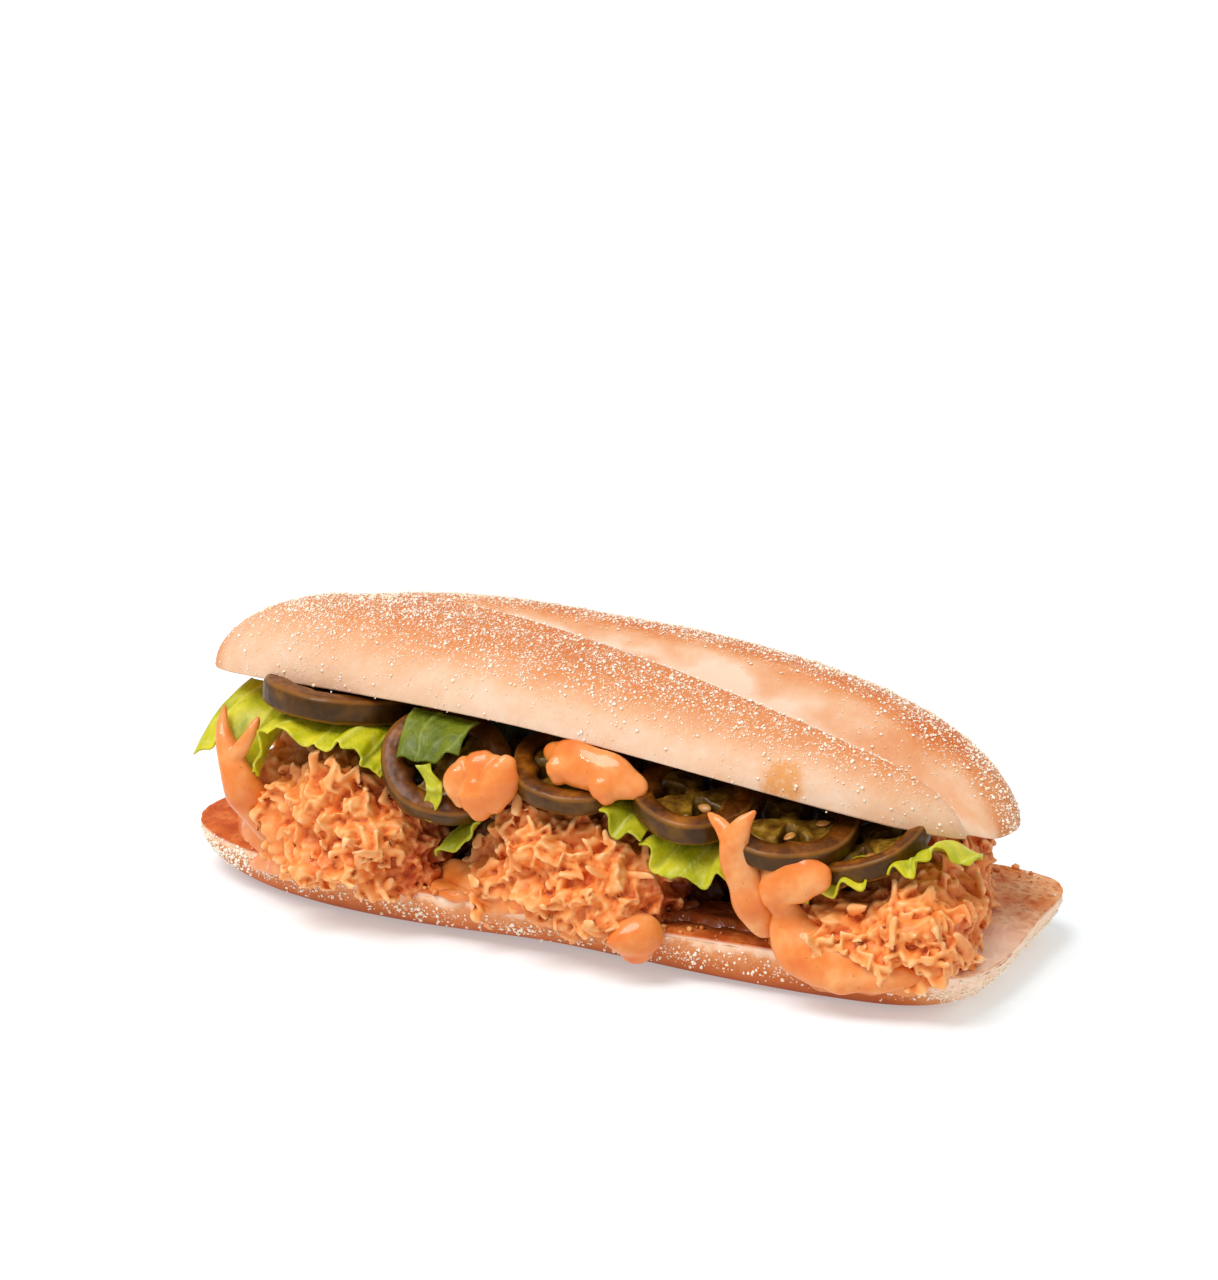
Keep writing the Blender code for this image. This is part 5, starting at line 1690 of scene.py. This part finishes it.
@dataclass
class Lettuce:
    """A leaf: thin, ruffled and ragged at its edge, with raised ribs and veins."""

    place: Place
    form: LeafForm
    spacing: float = 0.42
    fewest_rows: int = 40
    fewest_columns: int = 16
    thickness: float = 0.5
    rib_spacing: float = 7.0
    vein_spacing: float = 3.1
    ruffle_length: float = 6.5
    slant: float = 11.0

    def build(self) -> list[bpy.types.Object]:
        """Make the leaf."""
        edge = np.asarray(self.form.edge)
        length = float(np.linalg.norm(np.diff(edge, axis=0), axis=1).sum())
        depth = float(np.linalg.norm(edge[len(edge) // 2] - np.asarray(self.form.tucked)[1]))
        rows = max(self.fewest_rows, int(length / self.spacing))
        columns = max(self.fewest_columns, int(depth / self.spacing))
        share, across = pairs(np.linspace(0.0, 1.0, rows), np.linspace(0.0, 1.0, columns))
        points, vein = self.surface(share, across, length)
        leaf = grid_piece(
            f"{self.form.name}_leaf", self.place.metres(points), rows, columns, Wrap.SHEET,
            LeafFinish(self.form.name, self.form.shade).material(),
            vein=vein, rim=across, inside=inside(points, 14.0, 27.0))
        wall = leaf.modifiers.new("wall", "SOLIDIFY")
        wall.thickness = self.thickness * MM
        wall.offset = 0.0
        apply_modifiers(leaf)
        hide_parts(self.form.name)
        return [leaf]

    def surface(self, share: Rows, across: Rows, length: float) -> tuple[Rows, Rows]:
        """Span the leaf from its tucked edge to its showing edge.

        Formula: straight lines between two smooth curves, bowed by half a sine, frilled by sines and noise
        that grow towards the edge; ribs fan out as thin raised lines.

        Args:
            share: 0 to 1 along the edges.
            across: 0 at the tucked edge, 1 at the showing edge.
            length: length of the showing edge, in millimetres.

        Returns:
            Rows in millimetres of the drawing, and how much each point is rib, from 0 to 1.
        """
        form = self.form
        seed = sum(form.name.encode())
        run = share * length
        flat = np.stack([run, self.slant * across, 0.0 * share], axis=-1)
        torn = np.stack([run / 4.0, 0.0 * share, 0.0 * share], axis=-1)
        ragged = 1.0 + 0.07 * cloudy(torn, 1.0, seed)
        way = across * (1.0 + (ragged - 1.0) * across**3)
        tucked, edge = along(form.tucked, share), along(form.edge, share)
        place = tucked + (edge - tucked) * way[:, None]
        ahead = along(form.edge, share + 0.01) - along(form.edge, share - 0.01)
        normal = unit(np.cross(ahead, edge - tucked))
        normal = normal * np.where(normal[:, 2:3] < 0.0, -1.0, 1.0)
        bow = form.bow * np.sin(math.pi * across)
        frill = form.frill * across**2 * np.sin(2.0 * math.pi * form.waves * share)
        beat = 2.0 * math.pi * share * length / self.ruffle_length
        ruffle = np.sin(beat + 2.0 * cloudy(flat, 9.0, seed + 1))
        blister = 0.55 * cloudy(flat, 5.0, seed + 2) * smooth_step(across, 0.05, 0.4)
        fan = run / self.rib_spacing + 0.5 * cloudy(flat, 14.0, seed + 3) + 0.25 * across
        from_rib = np.abs(fan - np.round(fan))
        rib = bump(from_rib, 0.0, 0.075 * (1.15 - 0.75 * across))
        side = (run + 9.0 * from_rib + self.slant * across) / self.vein_spacing
        fine = 0.5 * bump(np.abs(side - np.round(side)), 0.0, 0.10)
        vein = np.clip(rib + fine * (1.0 - rib), 0.0, 1.0)
        lift = bow + frill + across**4 * (0.8 * ruffle) + blister + 0.3 * rib
        return place + normal * lift[:, None], vein


@dataclass(frozen=True)
class LeafFinish:
    """Fresh leaf: dark to yellow green by its shade, pale ribs, thin enough that light comes through, and
    painted shade deep in the roll.
    """

    name: str
    shade: float

    def material(self) -> bpy.types.Material:
        """Build the leaf's material."""
        nodes = Nodes(self.name)
        dark = (srgb(34, 54, 8), srgb(66, 86, 12), srgb(108, 124, 26))
        bright = (srgb(134, 144, 6), srgb(190, 186, 12), srgb(232, 216, 44))
        stops = tuple((place, blended(low, high, self.shade))
                      for place, low, high in zip((0.25, 0.5, 0.8), dark, bright))
        colour = nodes.ramp(nodes.noise(6.0, 4.0) + nodes.attribute("rim") * 0.12 - 0.04, stops)
        pale = blended(srgb(132, 150, 56), srgb(226, 224, 120), self.shade)
        # painted shade deep in the roll
        colour = nodes.shaded(nodes.mix(nodes.attribute("vein") * 0.5, colour, pale), 0.85)
        crinkle = nodes.relief(nodes.noise(1.1, 3.0), 0.25, 0.6)
        return nodes.finish(Base_Color=colour, Roughness=0.42, Normal=crinkle, Specular_IOR_Level=0.3,
                            Subsurface_Weight=0.3, Subsurface_Radius=(0.002, 0.003, 0.0006))


@dataclass(frozen=True)
class SauceForm:
    """Runs of sauce joined into one body; a run is a row of (x, y, z, half width, half depth)."""

    name: str
    runs: tuple
    seed: int


SAUCES = (
    SauceForm("sauce_left", (
        ((-79.5, -27.5, 44.8, 1.2, 1.0), (-78.0, -30.8, 41.0, 1.7, 1.3), (-75.0, -33.2, 36.0, 2.8, 1.8),
         (-72.4, -34.2, 31.0, 3.6, 2.6), (-70.4, -33.0, 26.6, 4.3, 3.2), (-68.5, -28.0, 18.0, 3.4, 3.0),
         (-68.0, -26.0, 14.8, 4.0, 2.6)),
        ((-68.6, -31.2, 44.4, 1.1, 0.9), (-69.6, -33.2, 41.0, 1.4, 1.1), (-72.6, -34.2, 36.0, 2.2, 1.6)),
        ((-86.0, -10.0, 13.8, 4.0, 1.4), (-76.0, -20.0, 14.4, 8.0, 2.4), (-66.0, -27.0, 14.2, 7.0, 2.2),
         (-57.0, -34.0, 13.6, 4.0, 1.6)),
    ), 21),
    SauceForm("sauce_blob", (
        ((-12.0, -37.4, 39.0, 5.0, 2.8), (-8.5, -38.8, 40.2, 6.8, 3.2), (-4.5, -38.4, 41.5, 6.2, 3.0)),
        ((-13.0, -38.6, 43.6, 2.6, 1.8), (-13.2, -40.4, 40.0, 3.4, 2.2), (-12.6, -40.6, 35.5, 2.8, 2.0)),
        ((-8.5, -41.2, 39.0, 4.4, 2.4), (-8.0, -41.3, 33.6, 3.2, 2.2)),
        ((-2.5, -38.6, 44.8, 3.2, 1.9), (-3.6, -40.4, 41.0, 4.2, 2.2), (-4.6, -40.8, 35.4, 3.0, 2.1)),
    ), 22),
    SauceForm("sauce_under_crown", (
        ((5.0, -33.0, 46.8, 3.4, 2.0), (11.0, -35.5, 46.2, 4.6, 2.4), (19.0, -36.5, 44.6, 4.6, 2.6),
         (27.0, -36.5, 42.6, 4.2, 2.4)),
        ((8.5, -36.0, 46.0, 3.0, 1.9), (9.0, -37.4, 42.4, 2.6, 1.7)),
        ((19.5, -38.0, 44.0, 3.8, 2.0), (21.0, -38.8, 40.2, 2.8, 1.8)),
    ), 23),
    SauceForm("sauce_pool", (
        ((-30.0, -24.5, 12.9, 2.6, 1.3), (-20.0, -30.5, 13.5, 4.8, 2.1), (-8.0, -34.8, 13.6, 4.8, 2.3),
         (4.0, -36.5, 13.4, 3.2, 1.8)),
    ), 24),
    SauceForm("sauce_drip", (
        ((26.0, -38.5, 15.0, 3.6, 2.2), (28.5, -41.0, 11.5, 6.2, 3.0), (28.5, -40.0, 7.5, 5.0, 3.2)),
    ), 25),
    SauceForm("sauce_stream", (
        ((55.5, -41.0, 42.5, 1.2, 0.9), (53.2, -42.6, 39.0, 2.5, 1.4), (52.2, -42.8, 33.5, 3.3, 2.0),
         (54.0, -41.0, 25.5, 3.9, 3.0), (57.0, -38.5, 17.5, 5.6, 4.2)),
        ((45.5, -41.2, 40.8, 1.0, 0.8), (49.2, -42.5, 38.6, 1.7, 1.1), (52.0, -42.8, 35.0, 2.7, 1.6)),
    ), 26),
    SauceForm("sauce_right", (
        ((57.5, -38.0, 30.0, 4.6, 2.8), (62.5, -40.0, 29.4, 6.2, 3.0), (69.5, -39.5, 29.8, 4.8, 2.6)),
        ((60.0, -40.2, 29.0, 4.2, 2.6), (61.0, -39.6, 22.5, 4.0, 3.0)),
        ((61.5, -38.5, 22.5, 3.8, 3.0), (63.0, -38.5, 18.0, 4.8, 3.2), (66.0, -40.0, 14.4, 5.8, 3.0),
         (73.0, -40.5, 12.0, 5.6, 2.8), (82.0, -40.0, 10.8, 4.4, 2.4), (91.0, -38.5, 11.2, 2.6, 1.9)),
    ), 27),
)


@dataclass
class Sauce:
    """Thick sauce: runs melted into one smooth, lumpy body."""

    place: Place
    form: SauceForm
    around: int = 48
    rows_each: int = 14
    voxel: float = 0.34
    rounds: int = 7
    front: tuple = (0.4, -0.9, 0.25)

    def build(self) -> list[bpy.types.Object]:
        """Make the runs, melt them together and smooth them; noise then swells and dents the surface."""
        points, quads, fans, start = [], [], [], 0
        for run in self.form.runs:
            rows = self.rows_each * len(run)
            way = -np.cos(math.pi * inner_steps(rows))
            way, turn = pairs(way, turns(self.around), (-1.0, 0.0), (1.0, 0.0))
            points.append(self.surface(run, way, turn))
            run_quads, run_fans = grid_faces(rows, self.around, Wrap.BALL)
            quads.append(run_quads + start)
            fans.append(run_fans + start)
            start += len(points[-1])
        body = make_mesh(f"{self.form.name}_drip", self.place.metres(np.concatenate(points)),
                         np.concatenate(quads), np.concatenate(fans))
        melting = body.modifiers.new("melting", "REMESH")
        melting.mode = "VOXEL"
        melting.voxel_size = self.voxel * MM
        melting.use_smooth_shade = True
        rounding = body.modifiers.new("rounding", "SMOOTH")
        rounding.iterations = self.rounds
        apply_modifiers(body)
        at = points_of(body)
        wrinkle = 0.20 * cloudy(at / MM, 7.0, 80 + self.form.seed, 2) + 0.05 * cloudy(at / MM, 2.2, 84, 1)
        move_points(body, at + normals_of(body) * wrinkle[:, None] * MM)
        body.data.materials.append(SauceFinish(self.form.name).material())
        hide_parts(self.form.name)
        return [body]

    def surface(self, run: tuple, way: Rows, turn: Rows) -> Rows:
        """Carry an oval along a run, rounded off at both ends and a little lumpy.

        Formula: the oval's two half widths follow the run's rows, times the root of 1 - |way|^5, times 1
        plus noise.

        Args:
            run: the run's rows.
            way: -1 at its start, 1 at its end.
            turn: angle round the run.

        Returns:
            Rows in millimetres of the drawing.
        """
        share = 0.5 * (1.0 + way)
        rows = along(run, share)
        heading = unit(along(run, share + 0.02)[:, :3] - along(run, share - 0.02)[:, :3])
        side = unit(np.cross(heading, self.front))
        front = np.cross(side, heading)
        swell = np.sqrt(np.clip(1.0 - np.abs(way) ** 5, 0.0, 1.0))
        round_run = side * np.cos(turn)[:, None] + front * np.sin(turn)[:, None]
        lump = 1.0 + 0.07 * waves(rows[:, :3] + 4.0 * round_run, 9.0, self.form.seed)
        wide = rows[:, 3] * swell * lump * np.cos(turn)
        deep = rows[:, 4] * swell * lump * np.sin(turn)
        ends = rows[:, 3] * 0.55 * np.sign(way) * smooth_step(np.abs(way), 0.8, 1.0)
        return rows[:, :3] + side * wide[:, None] + front * deep[:, None] + heading * ends[:, None]


@dataclass(frozen=True)
class SauceFinish:
    """Creamy orange sauce: glossy, a little uneven in colour, with a few small dark specks of spice.

    dark takes it from 0, creamy, to 1, a red brown that is partly sauce soaked into the toast and partly
    painted shade where the film lies in shadow between the fillings.
    """

    name: str
    dark: float = 0.0

    def material(self) -> bpy.types.Material:
        """Build the sauce's material."""
        nodes = Nodes(self.name)
        stops = ((0.3, srgb(224, 112, 36)), (0.48, srgb(230, 132, 56)), (0.7, srgb(240, 164, 98)))
        colour = nodes.ramp(nodes.noise(7.0, 3.0), tuple(
            (place, blended(light, srgb(150, 56, 22), self.dark)) for place, light in stops))
        sparse = nodes.noise(2.0, 1.0).between(0.55, 0.6)
        specks = (1.0 - nodes.cells(1.2).between(0.09, 0.16)) * sparse
        colour = nodes.mix(specks * 0.7, colour, srgb(140, 54, 20))
        film = nodes.relief(nodes.noise(2.6, 2.0), 0.3, 0.25)
        return nodes.finish(Base_Color=colour, Roughness=0.34, Normal=film, Specular_IOR_Level=0.25,
                            Coat_Weight=0.45, Coat_Roughness=0.04,
                            Subsurface_Weight=0.2, Subsurface_Radius=(0.004, 0.002, 0.0008))


@dataclass(frozen=True)
class SpillForm:
    """Thin sauce on the lower half: round spots (x, s, half x, half s), where s is the way out over the edge.

    s is below 0 on the cut face and above 0 down the side, in millimetres. The film's grid lies between
    the two angles round the lower half's upright axis.
    """

    name: str
    angles: tuple
    spots: tuple
    thickness: float
    dark: float
    seed: int


SPILLS = (
    SpillForm("sauce_film_left", (3.20, 4.35), (
        (-84.0, -6.0, 4.5, 2.6), (-76.0, -8.4, 6.0, 3.6), (-68.0, -8.0, 6.0, 4.0), (-60.0, -4.0, 6.0, 3.5),
    ), 1.2, 0.0, 1),
    SpillForm("sauce_film_middle", (4.05, 5.1), (
        (-26.0, -8.0, 6.0, 6.0), (-18.0, -4.5, 8.0, 6.0), (-8.0, -4.5, 9.0, 5.6), (3.0, -3.5, 9.0, 4.8),
        (12.0, -3.0, 7.0, 3.5),
    ), 1.6, 0.05, 2),
    # partly painted shade: this film lies in the shadowed gap between the middle and right chicken pieces
    SpillForm("sauce_film_dark", (4.75, 5.45), (
        (31.0, -12.0, 8.0, 7.0), (42.0, -13.0, 10.0, 8.0), (53.0, -11.0, 8.0, 7.0),
    ), 1.6, 0.8, 3),
    SpillForm("sauce_film_right", (4.9, 5.98), (
        (63.0, -6.0, 8.0, 8.0), (70.0, 0.5, 8.5, 8.0), (79.0, 1.0, 9.0, 7.2), (86.0, 0.5, 7.0, 6.2),
    ), 1.5, 0.0, 4),
)


@dataclass
class Spill:
    """Thin sauce that has run over the cut face, and over its edge."""

    place: Place
    base: Base
    form: SpillForm
    rows: int = 110
    columns: int = 240
    highest: float = 0.2
    lowest: float = 0.8
    rough: float = 0.4
    dip: float = 1.0

    def build(self) -> list[bpy.types.Object]:
        """Make the film."""
        down, angle = pairs(np.linspace(self.highest, self.lowest, self.rows),
                            np.linspace(*self.form.angles[::-1], self.columns))
        points, height = self.surface(down, angle)
        film = grid_piece(self.form.name, self.place.metres(points), self.rows, self.columns, Wrap.SHEET,
                          SauceFinish(self.form.name, self.form.dark).material())
        move_points(film, points_of(film) + normals_of(film) * (height * MM)[:, None])
        return [film]

    def surface(self, down: Rows, angle: Rows) -> tuple[Rows, Rows]:
        """Follow the lower half's surface, and tell how far the film stands off it.

        Formula: each spot gives 1 less the squared distance in its half sizes; the largest, moved by noise,
        is the film's share of its thickness, and below 0 it dips under the surface.

        Args:
            down: the lower half's parameter from the middle of the cut face to the underside.
            angle: angle round the upright axis.

        Returns:
            Rows in millimetres of the drawing, and heights off the surface in millimetres.
        """
        base = self.base
        points = base.surface(down, angle, self.rough)[0]
        on_face = base.half_width * (np.sin(0.5 * math.pi * np.clip(down / base.edge_share, 0.0, 1.0)) - 1.0)
        fall = np.clip((down - base.edge_share) / (base.foot_share - base.edge_share), 0.0, 1.0)
        s = np.where(down < base.edge_share, on_face, base.height * np.sin(0.5 * math.pi * fall))
        shares = [1.0 - ((points[:, 0] - x) / half_x) ** 2 - ((s - middle) / half_s) ** 2
                  for x, middle, half_x, half_s in self.form.spots]
        share = np.max(shares, axis=0) + 0.45 * cloudy(points, 7.0, 300 + self.form.seed, 2)
        lumps = 0.3 * cloudy(points, 6.0, 310 + self.form.seed, 1)
        height = smooth_step(share, 0.0, 0.45) * (self.form.thickness + lumps)
        return points, height - self.dip * (1.0 - smooth_step(share, -0.15, 0.08))


# Studio

@dataclass
class Studio:
    """Pale glowing floor, light all round, a large soft lamp, a small one for gloss, and the camera."""

    place: Place
    floor_half: float = 6.0
    floor_colour: tuple = (0.62, 0.66, 0.68)
    floor_glow: tuple = (0.97, 1.0, 1.0)
    floor_strength: float = 0.36
    world_strength: float = 0.62
    eye: tuple = (326.42, -684.35, 267.17)
    heading: tuple = (-0.41247, 0.87300, -0.26025)
    lens: float = 100.0
    film_width: float = 36.0

    def build(self) -> None:
        """Make the floor, the lamps and the camera."""
        half = self.floor_half
        corners = np.array([(-half, -half, 0.0), (half, -half, 0.0), (half, half, 0.0), (-half, half, 0.0)])
        floor = make_mesh("floor", corners, np.array([(0, 1, 2, 3)]), NO_TRIANGLES, closed=False)
        floor.data.materials.append(Nodes("floor").finish(
            Base_Color=self.floor_colour, Roughness=0.9, Specular_IOR_Level=0.1,
            Emission_Color=self.floor_glow, Emission_Strength=self.floor_strength))
        world = bpy.data.worlds.new("studio")
        world.use_nodes = True
        background = world.node_tree.nodes["Background"]
        background.inputs["Color"].default_value = (1.0, 1.0, 1.0, 1.0)
        background.inputs["Strength"].default_value = self.world_strength
        bpy.context.scene.world = world
        self.lamp("key", (-0.18, -0.42, 0.89), 2.0, 32.0)
        self.lamp("gloss", (-0.45, -0.55, 0.70), 0.3, 7.0)
        self.camera()
        bpy.context.scene.view_settings.view_transform = "Standard"

    def lamp(self, name: str, direction: tuple, power: float, spread: float) -> None:
        """Light everything evenly from one direction.

        Args:
            name: the lamp's name.
            direction: the way towards it.
            power: its strength.
            spread: its width in degrees, which softens the shadows.
        """
        light = bpy.data.lights.new(name, "SUN")
        light.energy = power
        light.angle = math.radians(spread)
        lamp = bpy.data.objects.new(name, light)
        lamp.rotation_euler = (-Vector(direction)).to_track_quat("-Z", "Y").to_euler()
        bpy.context.scene.collection.objects.link(lamp)

    def camera(self) -> None:
        """Place the camera that was fitted to the photograph."""
        data = bpy.data.cameras.new("camera")
        data.lens = self.lens
        data.sensor_width = self.film_width
        data.clip_start = 0.01
        camera = bpy.data.objects.new("camera", data)
        camera.location = Vector(self.place.metres(np.array(self.eye)))
        camera.rotation_euler = Vector(self.heading).to_track_quat("-Z", "Y").to_euler()
        bpy.context.scene.collection.objects.link(camera)
        bpy.context.scene.camera = camera


def main() -> None:
    """Build the studio and every part of the sandwich."""
    logging.basicConfig(level=logging.INFO, format="%(message)s")
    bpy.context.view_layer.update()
    low, high = (np.array(corner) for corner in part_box("bottom_bun"))
    base = Base(Place(0.0, 0.0))
    middle = 0.5 * (base.right_length - base.left_length)
    place = Place(0.5 * (low[0] + high[0]) / MM - middle, 0.5 * (low[1] + high[1]) / MM)
    crown = CrownForm()
    Studio(place).build()
    parts = [Crown(place, crown), Base(place)]
    parts += [Chicken(place, crown, form) for form in CHICKENS]
    parts += [PepperRing(place, form) for form in RINGS] + [Seeds(place)]
    parts += [Lettuce(place, form) for form in LEAVES]
    parts += [Sauce(place, form) for form in SAUCES]
    parts += [Spill(place, base, form) for form in SPILLS]
    for part in parts:
        for piece in part.build():
            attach(piece, "root")
            log.info("%s: %d faces", piece.name, len(piece.data.polygons))


if __name__ == "__main__":
    main()
